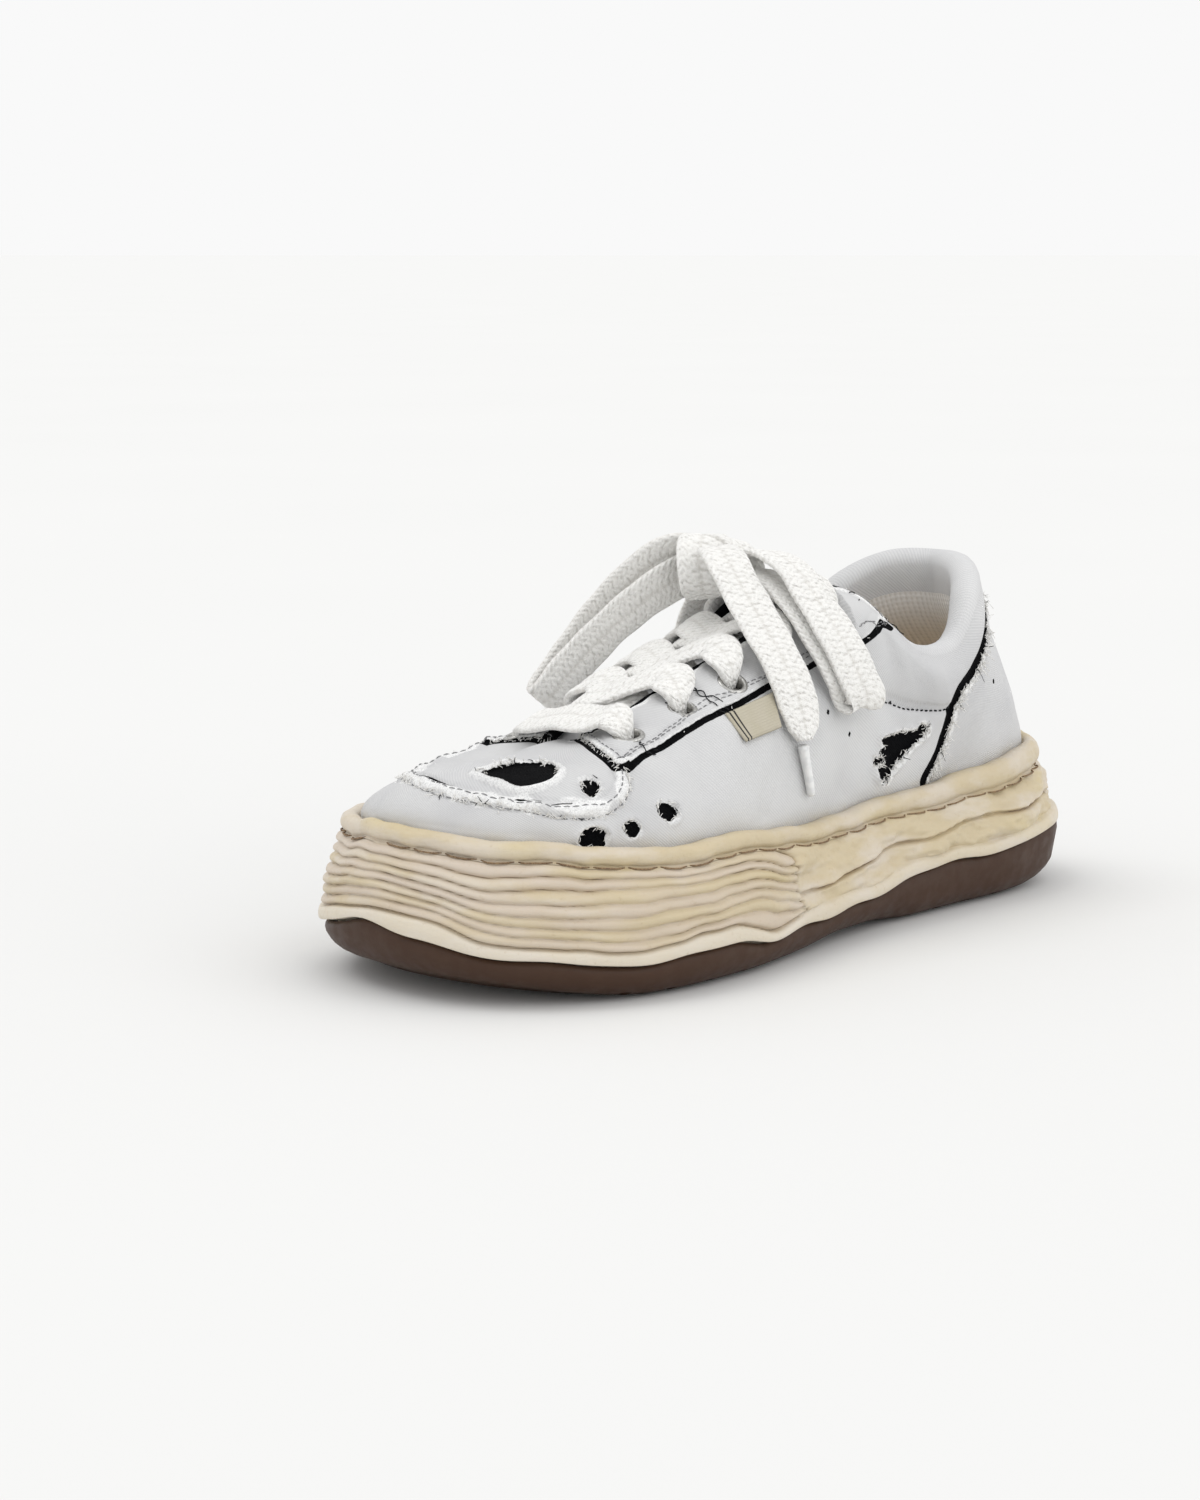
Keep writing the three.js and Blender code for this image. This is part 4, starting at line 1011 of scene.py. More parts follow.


# listed places on the outer side, in the shoe's own frame
seamSettings = {
    "stayFront": [[73, 6.5, 72], [79, 15, 70.8], [83.8, 25, 69.5], [86, 35.6, 66.1]],
    "stayBottom": [[86, 35.6, 66.1], [76.9, 35, 68.3], [67.3, 34.1, 70.8], [48.1, 32.6, 75.5],
                   [31, 31.4, 79.5],
                   [14.4, 30.1, 83.4], [-8, 28.8, 88.2], [-29.4, 28, 92.6], [-43.7, 28.6, 96.6]],
    "stayRear": [[-43.7, 28.6, 96.6], [-41.4, 25.5, 102.6], [-33.5, 19.2, 108.1], [-30, 14.8, 111]],
    "stayFrontInner": [[70.5, 6.5, 72.5], [73, 15, 72.5], [76, 25, 71], [78.5, 35.3, 67.8]],
    "stayBottomInner": [[78.5, 35.3, 67.8], [67.3, 34.1, 70.8], [48.1, 32.6, 75.5], [31, 31.4, 79.5],
                        [14.4, 30.1, 83.4], [-8, 28.8, 88.2], [-29.4, 28, 92.6], [-43.7, 28.6, 96.6]],
    "mocOuter": [[121.7, -20.9, 60.2], [128.3, -9, 60.4], [130.2, 0.7, 59.8], [129, 10.1, 59.1],
                 [126.5, 18, 58.2],
                 [123.2, 24.3, 57.4], [119.2, 30.3, 56.3], [113.5, 36.1, 55], [107.3, 40.2, 54.4],
                 [101.6, 42.6, 54.4],
                 [97, 43.2, 55.6], [92.8, 43.1, 57.5], [89.7, 42.6, 59.9], [87.3, 41, 61.8],
                 [84.5, 37.5, 65.6]],
    "mocInner": [[112.5, -29, 60.6], [104, -34.2, 60.8], [94, -36.8, 62.4], [85, -36, 65], [77, -34.6, 66.5]],
    "heelSeam": [[-113.7, 0, 107.5], [-110.7, 12, 107], [-105.5, 21, 103.5], [-100.9, 26.6, 97.4],
                 [-94.9, 31.2, 89.9],
                 [-88.2, 35, 82.6], [-81.1, 36.8, 77.7], [-74.6, 37.5, 73.4], [-71.4, 36.9, 69],
                 [-69.3, 35, 58.9],
                 [-67.5, 35, 51.7], [-62.5, 37, 43.5]],
    "collarStitch": [[-24, 30, 86], [-31.5, 33.7, 75.9], [-44.7, 35, 71.1], [-60.3, 36.3, 67.9],
                     [-70, 36.8, 68.6]],
    "tears": [
        [[116, 5.4, 64], [109.5, 5, 65.6], [104.3, 6, 66.4], [99.3, 9.7, 66.9], [96.4, 16.4, 66.9],
         [99, 22.8, 65.9],
         [104.3, 27.2, 64.2], [108.9, 28.4, 62.9], [114.6, 25.6, 61.7], [117.4, 18.6, 62.4],
         [117.6, 11.8, 63.2]],
        [[101.1, 33.7, 62.9], [99.4, 33.5, 63.6], [97, 35.2, 63.5], [96.8, 37.2, 62.2], [98.4, 39, 60.5],
         [101.2, 39.1, 59.7], [103, 37.3, 60.3]],
        [[107.5, 40.9, 49.5], [106.6, 41.1, 51], [103.7, 42.4, 51.2], [100.8, 43.7, 50], [101.3, 43.7, 46],
         [104.3, 45.9, 44], [109.4, 43.2, 46]],
        [[94.4, 45.6, 50.7], [92, 46.2, 52.3], [89.7, 46.7, 51.3], [89.5, 46.9, 48.7], [92, 46.5, 47.5],
         [93.9, 46, 48.6]],
        [[80.9, 46.4, 56], [78.9, 46.6, 56.3], [75.2, 48, 54.2], [76, 48.7, 51.7], [78, 48.6, 50.4],
         [81.4, 48.1, 52.6]],
        [[-34.2, 35.1, 61.2], [-43.3, 35.1, 62.2], [-52.7, 35.3, 62.5], [-55, 35.5, 64.3],
         [-58.3, 35.5, 62.4],
         [-57.6, 35.2, 60], [-51.2, 35, 57.2], [-46, 34.7, 53.8], [-42.3, 34.6, 50.2], [-38.8, 34.5, 46.2],
         [-34.4, 34.8, 48.4], [-33.4, 35.1, 51.4], [-37, 35, 52.2], [-30.8, 35.4, 53.6], [-32, 35.3, 55.3],
         [-36.4, 35.1, 55.4], [-33.8, 35.2, 57.6], [-36, 35.1, 59]],
    ],
    "slits": [[[118.9, -17, 61.7], [123.6, -8.7, 62], [125.2, -1.3, 61.8], [125.4, 4.5, 61.4]],
              [[119.2, 25.7, 59.4], [116.9, 29.1, 59.1], [114.7, 31.6, 58.8]],
              [[113, 33.9, 57.9], [110.7, 35.3, 57.9], [107.5, 37, 57.7]]],
    "dots": [[-8.2, 35.1, 73.3], [-19.7, 35.9, 64.4], [-98.8, 32.2, 74]],
    # how far panels, rolls and seams stand out of the canvas or sink in
    "stayThick": 1.35, "counterThick": 0.7, "mocThick": 0.55, "mocRoll": 1.0, "collarPuff": 3.9,
    "tearDeep": 1.5,
    "tearLip": 0.9, "creaseScale": 1.5, "deepest": -1.3,
    "innerTear": [[14, 33.5, 66], [10, 33.8, 70], [6, 34, 67], [5, 34.5, 61], [9, 34.5, 57], [13, 34, 60]],
}

# soft creases, [places, depth, width]: where the foot bends, over the toe, down the quarters and at the heel
creaseSettings = [
    [[[78, 44, 60], [90, 30, 65], [92, 8, 67], [88, -14, 66]], -0.7, 5],
    [[[62, 46, 58], [60, 38, 68], [66, 35.5, 70]], -0.6, 4],
    [[[118, 33, 48], [121, 26, 52], [128, 8, 52]], -0.5, 6],
    [[[30, 43, 48], [20, 38, 60], [16, 33, 74]], -0.8, 7],
    [[[8, 40, 46], [0, 37, 58], [-6, 33, 76]], 0.7, 7],
    [[[-14, 38, 48], [-22, 37, 58], [-24, 34, 72]], -0.7, 6],
    [[[-34, 36, 66], [-30, 35, 72], [-22, 31, 86]], 0.5, 5],
    [[[-84, 33, 48], [-92, 32, 58], [-96, 31, 72]], -0.6, 7],
    [[[-60, 36, 74], [-66, 37.5, 80], [-76, 37, 86]], -0.5, 5],
    [[[52, 45, 52], [46, 40, 62], [44, 35, 72]], 0.5, 6],
]


def makeUpper(s, seams, creases):
    # height is how far the canvas stands out; dark and raw are distances to black and frayed cloth, under 0 in it
    v = np.concatenate([[-1, -0.5], np.linspace(0, 1, s["rows"])])
    outer = ribPlaces(s, v)
    facing = normalsOf(outer)
    normal = facing.copy()
    normal[:, :3] = normal[:, 3:4]
    shape = outer.shape[:2]
    height = np.zeros(shape)
    dark = np.full(shape, 9.0)
    raw = np.full(shape, 9.0)
    torn = np.zeros(shape)
    lines = {"fray": [], "stitch": [], "collar": []}
    topCell = shape[1] + 3
    for inner in (False, True):
        end = "Inner" if inner else ""
        keys = ("stayFront" + end, "stayBottom" + end, "stayRear")
        edges = [onTable(outer, seams[key], inner) for key in keys]
        cells = np.vstack([e[0] for e in edges])
        edge = np.vstack([e[1] for e in edges])
        above = np.array([[cells[-1, 0], topCell], [cells[0, 0], topCell]])
        inside = insideOf(shape, np.vstack([cells, above]))
        far = distanceTo(outer, edge)
        signed = signedBy(inside, far)
        height += seams["stayThick"] * smooth(0.5, -0.5, signed)
        height -= 0.4 * bell(signed + 3.4, 0.6)
        front = distanceTo(outer, edges[0][1])
        tip = distanceTo(outer, edges[2][1])
        half = 0.95 + 0.4 * smooth(12, 5, tip) + 0.25 * smooth(9, 4, front)
        # the wing's rear edge is torn white, not lined black
        bare = smooth(0.5, 1.5, distanceTo(outer, edges[1][1]) - tip)
        dark = np.minimum(dark, np.abs(signed - half) - half + 9 * bare)
        raw = np.minimum(raw, np.where(signed < 0.4, far + 0.9 * smooth(2, 8, np.minimum(front, tip)), 9))
        raw = np.minimum(raw, np.abs(signed) - 0.9 * bare + 9 * (1 - bare))
        lines["fray"] += [(edges[1][1], 0.6, 0.12, 0.5, 0), (edges[0][1], 1.2, 2.4, 0.1, 0),
                          (edges[2][1], 1.6, 3.2, 0.1, 0)]
        lines["stitch"] += [(edges[1][1], 3.2, inner), (edges[1][1], 5.4, inner), (edges[0][1], 3.0, inner),
                            (edges[2][1], 3.0, inner)]
        heelCells, heel = onTable(outer, seams["heelSeam"], inner)
        back = (shape[0] - 1) / 2
        heelCells[0, 0] = back
        below = np.array([[heelCells[-1, 0], -1], [back, -1]])
        counter = insideOf(shape, np.vstack([heelCells, below]))
        ownHalf = (turnAt >= 0.5 if inner else turnAt <= 0.5)[:, None]
        far = distanceTo(outer, heel)
        signed = np.where(ownHalf, signedBy(counter, far), 99)
        panel = seams["counterThick"] * smooth(0.4, -0.8, signed) * smooth(9, 2, -signed)
        height += panel * (v[None] > 0) * ownHalf
        height -= 0.5 * bell(signed - 2, 1.3)
        dark = np.minimum(dark, np.abs(signed - 2) - 1.75 - 1.1 * smooth(75, 100, outer[..., 2]))
        raw = np.minimum(raw, np.where(signed < 0.4, far, 9))
        lines["fray"].append((heel, 2.6, 3, 0.03, -1 if inner else 1))
        stitchCells, stitch = onTable(outer, seams["collarStitch"], inner)
        far = distanceTo(outer, stitch)
        height -= 0.9 * bell(far, 1.1)
        corner = np.array([[cells[-1, 0], topCell], [back, topCell]])
        roll = insideOf(shape, np.vstack([heelCells[: np.argmin(np.sum((heel - stitch[-1]) ** 2, axis=1))],
                                          stitchCells[::-1], corner]))
        border = np.clip(np.minimum(far - 2, distanceTo(outer, heel) - 4.4), 0, None)
        puffed = np.sqrt(1 - (1 - np.clip(border / 14, 0, 1)) ** 2)
        height += seams["collarPuff"] * np.where(roll, puffed, 0) * (1 - 0.6 * smooth(0.8, 1, v)[None])
        lines["collar"].append(stitch)
    innerCells = onTable(outer, [[x, -y, z] for x, y, z in seams["mocInner"]], True)[0]
    mocCells = np.vstack([innerCells[::-1], onTable(outer, seams["mocOuter"])[0]])
    halfRound = (shape[0] - 1) / 2
    mocCells[:, 0] = (mocCells[:, 0] + halfRound) % (2 * halfRound) - halfRound
    moc = evenly(surfacePlace(outer, mocCells[:, 0], mocCells[:, 1]), 180)
    closing = np.array([[mocCells[-1, 0], topCell], [mocCells[0, 0], topCell]])
    inside = insideOf(shape, np.vstack([mocCells, closing]))
    far = distanceTo(outer, moc)
    signed = signedBy(inside, far)
    height += seams["mocThick"] * smooth(0.6, -0.8, signed) * smooth(-26, -6, signed)
    height += seams["mocRoll"] * bell(signed + 2.2, 1.5) * (1 + 0.3 * ripples(outer, 7, 31))
    height -= 0.45 * (bell(signed - 0.2, 0.5) + bell(signed + 4.9, 0.5))
    raw = np.minimum(raw, np.abs(signed + 2.2) - 0.9 + 0.9 * ripples(outer, 9, 32))
    lines["fray"].append((moc, 1.8, 1.6, 0.05, 0))
    lines["stitch"] += [(moc, -0.3, None), (moc, 4.6, None)]
    for k, tear in enumerate(seams["tears"] + [seams["innerTear"]]):
        cells, edge = onTable(outer, tear, inner=k == len(seams["tears"]), count=150, closed=True)
        inside = insideOf(shape, cells)
        far = distanceTo(outer, edge)
        signed = signedBy(inside, far)
        small = min(1.0, lengthOf(edge) / 40)
        height -= seams["tearDeep"] * smooth(0.5, -0.5, signed)
        height += (seams["tearLip"] * small * bell(signed - 1.2, 0.9)) * (1 + 0.5 * ripples(outer, 8, 40 + k))
        if k == 0:  # the lower lip of the biggest hole curls out
            lower = smooth(-3, 6, outer[..., 0] + outer[..., 1] - 123)
            height += 1.3 * lower * bell(signed - 1.1, 1.1)
            raw = np.minimum(raw, np.where(lower > 0.3, np.abs(signed - 1.1) * 0.9, 9))
        dark = np.minimum(dark, signed)
        raw = np.minimum(raw, np.where(signed > -0.4, far + 1.1 - small, 9))
        torn = np.maximum(torn, smooth(5, 3, signed) * small)
        lines["fray"].append((edge, 1.1 * small + 0.2, 2.4 if k == 5 else 1.1, 0.05, 0))
    for places in seams["slits"]:
        line = onTable(outer, places)[1]
        far = distanceTo(outer, line)
        dark = np.minimum(dark, far - 0.9 * smooth(0, 4, distanceTo(outer, line[[0, -1]])) - 0.25)
        height -= 0.7 * bell(far, 1)
    for place in seams["dots"]:
        cell = nearestCell(outer, place)
        far = np.linalg.norm(outer - outer[cell], axis=-1)
        dark = np.minimum(dark, far - 0.9)
        height -= 0.6 * bell(far, 1.2)
    for places, depth, width in creases:
        for inner in (False, True):
            if inner and np.mean([p[1] for p in places]) < 20:
                continue
            line = onTable(outer, places, inner)[1]
            height += seams["creaseScale"] * depth * bell(distanceTo(outer, line), width)
    # a raw black edge round the throat, where the stay's own turning has worn away
    fromRim = np.cumsum(np.linalg.norm(np.diff(outer[:, ::-1], axis=1), axis=-1), axis=1)[:, ::-1]
    fromRim = np.concatenate([fromRim, np.zeros((shape[0], 1))], axis=1)
    throat = smooth(0.03, 0.08, shareAt)[:, None] * (1 - smooth(0.6, 0.63, shareAt))[:, None]
    innerSide = (turnAt > 0.5)[:, None]
    rimEdge = fromRim - np.where(innerSide, 2.8, 1.2) - 0.5 * ripples(outer, 11, 50) + (1 - throat) * 9
    dark = np.minimum(dark, rimEdge)
    raw = np.minimum(raw, np.abs(rimEdge) * 0.9)
    height += 0.22 * ripples(outer, 42, 51) + 0.09 * ripples(outer, 15, 52)
    height = np.maximum(height, seams["deepest"]) * np.clip((v[None] * 12 + 0.15), 0, 1)
    soil = 0.55 * bell(outer[..., 2] - (lipTop[:, None] - 1), 2.2)
    skin = outer + normal * height[..., None]
    # the rim: half a circle over to the lining
    wallAt = s["wall"] + s["collarPad"] * smooth(0.63, 0.7, shareAt)[:, None] * smooth(0.45, 0.8, v)[None]
    radius = wallAt[:, -1:] / 2
    along = outer[:, -1] - outer[:, -4]
    along /= np.linalg.norm(along, axis=1, keepdims=True)
    rim = []
    for degrees in (22, 45, 68, 90, 112, 135, 158):
        turn = math.radians(degrees)
        fade = height[:, -1:] * math.cos(turn / 2)
        rim.append(outer[:, -1] + facing[:, -1] * (radius * (math.cos(turn) - 1) + fade)
                   + along * radius * math.sin(turn))
    rim = np.stack(rim, 1)
    inside = np.linspace(1, 0.02, 16)
    insideRows = np.rint(2 + inside * (s["rows"] - 1)).astype(int)
    back = (outer - facing * wallAt[..., None])[:, np.concatenate([insideRows, [2, 0]])]
    back[:, -1] = outer[:, 0] - outward * s["wall"]
    back[:, -2] = outer[:, 2] - outward * s["wall"]
    table = np.concatenate([skin, rim, back, skin[:, :1]], axis=1)
    extra = table.shape[1] - shape[1]

    def extended(field, value):
        return np.concatenate([field, np.full((shape[0], extra), value)], axis=1)

    rimDark = np.broadcast_to(np.array([0, 0.3, 0.5, 0.6, 0.6, 0.6, 0.6])[None] * 3 - 1, (shape[0], 7))
    darkTable = extended(dark, 9.0)
    darkTable[:, shape[1]:shape[1] + 7] = np.where(throat > 0.5, rimDark - 1.5, 9)
    part = np.zeros(table.shape[1], int)
    part[shape[1] + 9:-2] = 1
    uv = np.stack(np.meshgrid(runOf(outer[:, 40]), runOf(table[180]), indexing="ij"), -1)
    piece = meshFrom("canvas_upper", table, [canvas, lining], closedAlong=True, uv=uv, part=part,
                     values={"dark": darkTable, "raw": extended(raw, 9.0), "soil": extended(soil, 0.0),
                             "torn": extended(torn, 0.0)})
    return piece, outer, normal, lines


upper, lastTable, lastNormal, canvasLines = makeUpper(upperSettings, seamSettings, creaseSettings)
print("upper", len(upper.data.polygons), "faces")


# eyelets
eyeletSettings = {"shares": [0.22, 0.305, 0.39, 0.475, 0.555], "rib": 0.78, "hole": 3.2, "flange": 5.1,
                  "barrel": 3.7,
                  "lift": 0.95}
sides = {"outer": 1, "inner": -1}


def onLast(table, share, side, j):
    # a place on one side of the last, at a share of the way from toe to heel
    count = soleSettings["round"]
    i = share * count / 2 if side > 0 else count - share * count / 2
    return surfacePlace(table, np.array([i]), np.array([j]))[0]


def eyeletAt(share, side):
    # middle and facing of an eyelet on the canvas
    j = 2 + eyeletSettings["rib"] * (upperSettings["rows"] - 1)
    facing = onLast(lastNormal, share, side, j)
    return onLast(lastTable, share, side, j), facing / np.linalg.norm(facing)


def turnedTo(place, facing):
    turn = Vector(facing).to_track_quat("Z", "Y").to_matrix().to_4x4()
    turn.translation = Vector(place * mm)
    return turn


def punchHoles(s):
    bm = bmesh.new()
    for share in s["shares"]:
        for side in sides.values():
            place, facing = eyeletAt(share, side)
            bmesh.ops.create_cone(bm, cap_ends=True, segments=24, radius1=s["barrel"] * mm,
                                  radius2=s["barrel"] * mm,
                                  depth=0.012, matrix=turnedTo(place, facing))
    cutAway(upper, linked("punch", meshOf("punch", bm)))


def makeEyelet(name, share, side, s):
    # a rolled ring with a short barrel through the canvas, spun round its axis
    place, facing = eyeletAt(share, side)
    low = -upperSettings["wall"] - 0.2
    profile = [(s["hole"], low), (s["barrel"] - 0.15, low), (s["barrel"] - 0.15, s["lift"] - 0.3),
               (s["flange"] - 0.15, s["lift"] - 0.25), (s["flange"], s["lift"] + 0.05),
               (s["flange"] - 0.35, s["lift"] + 0.6), (s["flange"] - 1, s["lift"] + 0.85),
               (s["hole"] + 0.3, s["lift"] + 0.62), (s["hole"], s["lift"] + 0.1)]
    bm = bmesh.new()
    loop = [bm.verts.new((r * mm, 0, z * mm)) for r, z in profile]
    edges = [bm.edges.new((a, b)) for a, b in zip(loop, loop[1:] + loop[:1])]
    bmesh.ops.spin(bm, geom=loop + edges, cent=(0, 0, 0), axis=(0, 0, 1), angle=2 * math.pi, steps=40,
                   use_merge=True, use_duplicate=False)
    bmesh.ops.remove_doubles(bm, verts=bm.verts, dist=1e-7)
    bmesh.ops.recalc_face_normals(bm, faces=bm.faces)
    bmesh.ops.transform(bm, matrix=turnedTo(place, facing), verts=bm.verts)
    return subdivided(shown(name, meshOf(name, bm, metal)), 1)


punchHoles(eyeletSettings)
finished(upper, "canvas", "upper")
for sideName, side in sides.items():
    for k, share in enumerate(eyeletSettings["shares"]):
        finished(makeEyelet(f"eyelet_ring_{sideName}_{k + 1}", share, side, eyeletSettings), "eyelet_metal",
                 f"eyelet_{sideName}_{k + 1}")
print("eyelets made")


# stitches and frayed threads on the canvas
def nearestOn(piece):
    bm = bmesh.new()
    bm.from_mesh(piece.data)
    bmesh.ops.delete(bm, geom=[face for face in bm.faces if face.material_index], context="FACES")
    tree = BVHTree.FromBMesh(bm)
    bm.free()

    def find(place):
        hit, facing, _, _ = tree.find_nearest(Vector(np.array(place) * mm))
        return np.array(hit) / mm, np.array(facing)

    return find


onCanvas = nearestOn(upper)
strandSettings = {"stitch": 1.9, "space": 0.9, "stitchRadius": 0.19, "frayRadius": 0.16, "seed": 7}


def shifted(line, offset, mirrored):
    # a line moved sideways over the canvas, to the panel's own side
    moved = []
    along = np.gradient(line, axis=0)
    for place, way in zip(line, along):
        side = np.cross(onCanvas(place)[1], way)
        side /= max(np.linalg.norm(side), 1e-9)
        moved.append(onCanvas(place + side * offset * mirrored)[0])
    moved = np.array(moved)
    for _ in range(4):
        moved[1:-1] = (moved[:-2] + 2 * moved[1:-1] + moved[2:]) / 4
    return moved


def makeStitches(s):
    rows = []
    for line, offset, inner in canvasLines["stitch"]:
        line = evenly(line, max(8, int(lengthOf(line) / 2)))
        mirrored = 1 if inner is None else (-1 if inner else 1)
        rows += alongLine(shifted(line, offset, mirrored), s["stitch"], s["space"])
    lines = []
    for row in rows:
        lifted = []
        for share, place in zip(np.linspace(0, 1, len(row)), row):
            hit, facing = onCanvas(place)
            lifted.append(hit + facing * (0.28 * math.sin(math.pi * share) - 0.08))
        lines.append(lifted)
    finished(threads("canvas_stitches", lines, s["stitchRadius"], [greyThread], sides=1), "canvas")
    dots = []
    for line in canvasLines["collar"]:
        dots += alongLine(evenly(line, 120), 1.0, 1.1)
    dots = [[onCanvas(p)[0] + onCanvas(p)[1] * 0.12 for p in row[::2]] for row in dots]
    finished(threads("collar_stitches", dots, 0.3, [blackThread], sides=1), "canvas")
    return len(lines)


def makeFray(s):
    # raw cut edges: short white cotton ends and a few black ones, lying over the edge in every direction
    dice = random.Random(s["seed"])
    lines, kinds = [], []
    for line, reach, density, blackShare, towards in canvasLines["fray"]:
        long = lengthOf(line)
        fine = evenly(line, max(8, int(long)))
        along = np.gradient(fine, axis=0)
        for _ in range(int(long * density)):
            k = dice.randrange(len(fine))
            hit, facing = onCanvas(fine[k] + np.array([dice.gauss(0, 0.45) for _ in range(3)]))
            way = along[k] / np.linalg.norm(along[k])
            side = np.cross(facing, way)
            angle = dice.uniform(0, math.pi) * towards if towards else dice.uniform(0, 2 * math.pi)
            way = way * math.cos(angle) * 0.9 + side * math.sin(angle)
            size = dice.uniform(0.8, 1.6) * (0.8 + 0.5 * reach)
            curl = np.array([dice.gauss(0, 0.9 if towards else 0.35) for _ in range(3)])
            places = []
            for t in (0, 0.35, 0.7, 1):
                up = 0.1 + dice.uniform(0.3, 0.9) * t * (1.15 - t) * 1.6
                places.append(hit + way * size * t + facing * up + curl * t * t)
            lines.append(places)
            kinds.append(1 if dice.random() < blackShare else 0)
    finished(threads("frayed_edges", lines, s["frayRadius"], [whiteThread, blackThread], sides=0, taper=0.5,
                     kinds=kinds), "canvas")
    return len(lines)


# loose black threads that hang off the stay, as places listed over the canvas
looseThreads = [
    [[41, 19.5, 84], [41.5, 22, 83.5], [39.5, 25.5, 82], [40.6, 29, 80], [38.5, 34, 77]],
    [[42.5, 19, 84], [39.8, 22.5, 83.5], [41.8, 26, 82], [37.6, 29, 80.5], [36.4, 33.2, 77.5]],
    [[44, 20, 83], [46.5, 22, 82.5], [50, 23, 81], [53, 22.6, 80.5]],
    [[73, 31, 71], [74.5, 34, 69.5], [72, 36.5, 67.5]],
    [[-33, 21, 106], [-36, 22, 104.5], [-34, 24, 102.5], [-37, 26.5, 99.5], [-34.5, 28.5, 97]],
    [[-41, 26, 102], [-46, 29, 98], [-49, 32, 93.5]],
]


def makeLooseThreads():
    lines = []
    for rows in looseThreads:
        line = curveThrough(rows, 26)
        placed = []
        for k, place in enumerate(line):
            hit, facing = onCanvas(place)
            placed.append(hit + facing * (0.35 + 0.3 * math.sin(k * 0.8)))
        lines.append(placed)
    finished(threads("loose_threads", lines, 0.22, [blackThread], sides=1, taper=0.8), "canvas")


print("stitches", makeStitches(strandSettings))
print("fray", makeFray(strandSettings))
makeLooseThreads()


# tongue and insole
def copyOf(nodeName, name, material, levels):
    # a smooth copy of a plain solid
    bm = bmesh.new()
    bm.from_mesh(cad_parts[nodeName].data)
    bmesh.ops.remove_doubles(bm, verts=bm.verts, dist=1e-6)
    bmesh.ops.join_triangles(bm, faces=bm.faces, angle_face_threshold=3.1, angle_shape_threshold=3.1)
    return subdivided(shown(name, meshOf(name, bm, material)), levels)


tongue = finished(copyOf("tongue", "tongue_canvas", tongueCanvas, 2), "canvas", "tongue")
finished(copyOf("insole", "insole_sheet", insoleCloth, 1), "lining", "insole")


# laces across the tongue
# height of the tongue's crown at shares of the way from toe to heel
crownHeights = [[0.1, 64], [0.2, 69], [0.3, 78], [0.4, 86.5], [0.5, 94.5], [0.57, 101.5], [0.65, 111]]


def strandRoute(k, side):
    # one lace end: from under the far edge of the throat, over the tongue, to its eyelet and down through it
    share = eyeletSettings["shares"][k]
    place, facing = eyeletAt(share, side)
    near = onLast(lastTable, share, side, lastTable.shape[1] - 1.5) + [0, 0, 3.4]
    crown = between(crownHeights, np.array([share - 0.02]))[0, 0]
    middle = np.array([place[0] + 5.4, 0, crown + 4.8])
    far = np.array([place[0] + 6.4, -side * 7.5, middle[2] - 1.4])
    hidden = np.array([place[0] + 7.4, -side * 13, middle[2] - 4.6])
    back = (near - place) / np.linalg.norm(near - place)
    over = place + facing * 3.8 + back * 7.4
    dip = place + facing * 2.2 + back * 3.2
    return [hidden, far, middle, near + facing * 1.4, over, dip, place - facing * 2.6 + back * 1.6]


slope = (1, 0, -0.42)
strandWidths = [[0, 1], [0.68, 1], [0.82, 0.88], [0.91, 0.5], [1, 0.34]]


def makeLacing():
    for k in range(1, 5):
        strands = [ribbon(f"strand_{k}_{sideName}", strandRoute(k, side), slope, slope, strandWidths,
                          k * 2 + side)[0]
                   for sideName, side in sides.items()]
        finished(joined(f"lace_crossing_{k}", strands), "lace", f"lace_cross_{k}")
    share = eyeletSettings["shares"][0]
    rows = []
    for side in (1, -1):
        place, facing = eyeletAt(share, side)
        inward = np.array([0, -side, 0.35])
        rows.append([place + facing * up + inward * over for up,
                     over in ((3.8, 7.2), (2.2, 3.2), (-2.6, 1.6))])
    middle = [np.array(place, float) for place in ([74.5, 14, 77], [74, 0, 76.5], [72.5, -12, 74])]
    route = rows[0][::-1] + middle + rows[1]
    widths = [[0, 0.38], [0.07, 0.52], [0.14, 0.86], [0.24, 1], [0.76, 1], [0.86, 0.86], [0.93, 0.52],
              [1, 0.38]]
    finished(ribbon("lace_straight_bar", route, slope, slope, widths, 11)[0], "lace", "lace_bar")


makeLacing()
print("lacing made")


# labels
labelSettings = {"corners": [[39, 33.4, 76.6], [37.3, 40.6, 68.2], [18.6, 38.6, 70.6], [15.6, 32.2, 80.8]],
                 "facing": (0.02, 0.82, 0.57), "low": 0.8, "thick": 1.2, "stripes": (0.06, 0.14), "curl": 0.5,
                 "tonguePlan": [[-12, -7], [-12, 8], [-24, 8], [-24, -7]], "tongueFacing": (-0.3, 0, 0.95)}


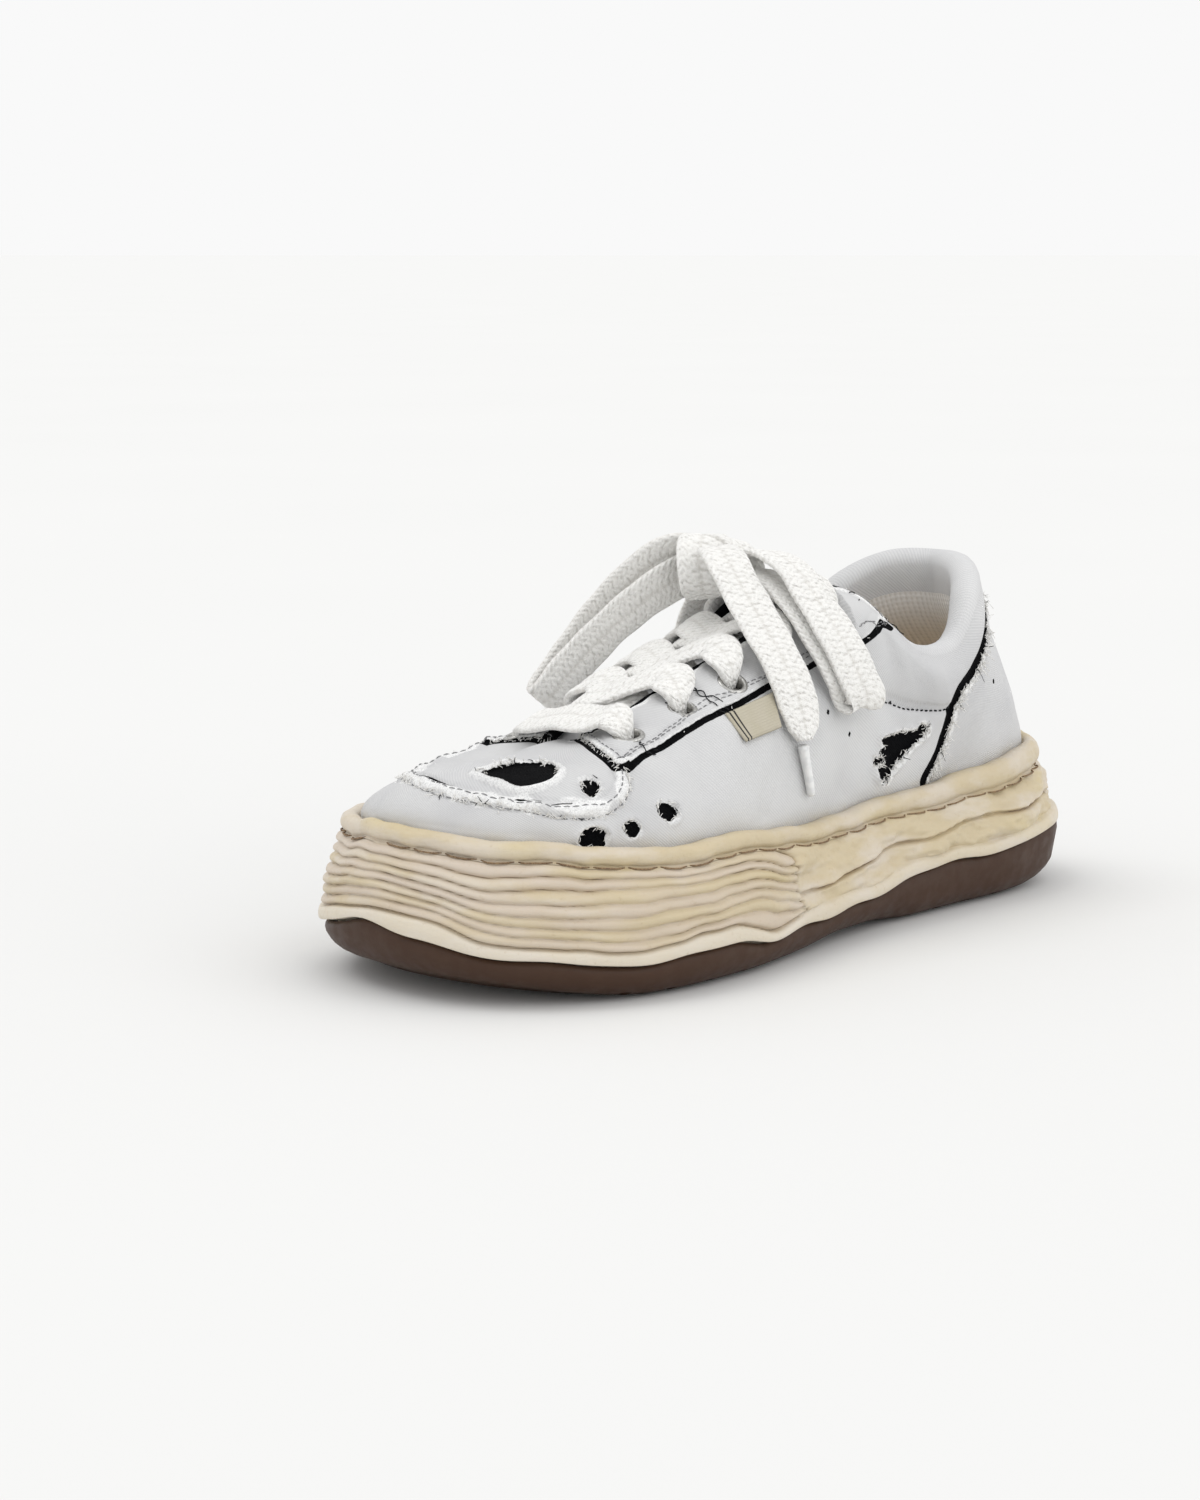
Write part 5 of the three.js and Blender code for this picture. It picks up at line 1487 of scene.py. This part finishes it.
def slab(name, corners, facing, low, thick, stripeAt, material, bend=0.0):
    # a small cloth label: a fine grid between four corners, with rounded edges and a gentle curl
    a, b, c, d = (np.array(p, float) for p in corners)
    facing = np.array(facing, float) / np.linalg.norm(facing)
    u, v = np.linspace(0, 1, 41), np.linspace(0, 1, 21)
    top = (a[None, None] * ((1 - u)[:, None] * (1 - v)[None])[..., None]
           + b[None, None] * ((1 - u)[:, None] * v[None])[..., None]
           + c[None, None] * (u[:, None] * v[None])[..., None]
           + d[None, None] * (u[:, None] * (1 - v)[None])[..., None])
    curl = bend * (v[None] ** 2) * (0.6 + 0.4 * np.sin(u * 5)[:, None])
    top = top + facing * (low + thick * 0.5 + curl)[..., None]
    stripe = np.zeros((41, 21)) + sum((bell(u - at, 0.018) for at in stripeAt), np.zeros(41))[:, None]
    edge = np.minimum(np.minimum(u, 1 - u)[:, None] * 20, np.minimum(v, 1 - v)[None] * 10)
    round_ = np.sqrt(np.clip(edge * 2, 0, 1)) * thick / 2
    table = np.concatenate([top + facing * round_[..., None], (top - facing * round_[..., None])[:, ::-1]],
                           axis=1)
    stripes = np.concatenate([stripe, stripe[:, ::-1]], axis=1)
    uv = np.stack(np.broadcast_arrays((u * 20)[:, None], np.concatenate([v, 2 - v[::-1]])[None] * 10), -1)
    return meshFrom(name, table, [material], uv=uv, values={"stripe": stripes})


def makeLabels(s):
    finished(slab("side_label_cloth", s["corners"], s["facing"], s["low"], s["thick"], s["stripes"],
                  creamLabel,
                  s["curl"]), "label", "side_label")
    onTongue = nearestOn(tongue)
    corners = []
    for x, y in s["tonguePlan"]:
        hit, facing = onTongue([x, y, 112])
        corners.append(hit + facing * 0.4)
    finished(slab("tongue_label_cloth", corners, s["tongueFacing"], 0.2, 0.7, (), brownLabel), "label")


makeLabels(labelSettings)
print("labels made")


# floor and light
def makeStudio():
    # a wide sheet under the shoe
    bm = bmesh.new()
    bmesh.ops.create_grid(bm, x_segments=8, y_segments=8, size=120)
    bmesh.ops.translate(bm, vec=(0, 0, floorHeight), verts=bm.verts)
    shown("paper_floor", meshOf("paper_floor", bm, whitePaper))


def sunLight(name, direction, strength, spread):
    data = bpy.data.lights.new(name, "SUN")
    data.energy = strength
    data.angle = math.radians(spread)
    linked(name, data).rotation_euler = (-Vector(direction)).to_track_quat("-Z", "Y").to_euler()


def makeLight():
    world = bpy.data.worlds.new("studio")
    world.use_nodes = True
    world.node_tree.nodes["Background"].inputs["Color"].default_value = linear("#f9f9f9")
    world.node_tree.nodes["Background"].inputs["Strength"].default_value = 1
    bpy.context.scene.world = world
    sunLight("softbox_toe_side", (0.4, -0.3, 0.95), 0.5, 30)
    sunLight("softbox_front", (-0.1, 0.85, 0.6), 0.6, 60)
    bpy.context.scene.view_settings.view_transform = "Standard"
    bpy.context.scene.view_settings.look = "None"


makeStudio()
makeLight()
print("studio made")
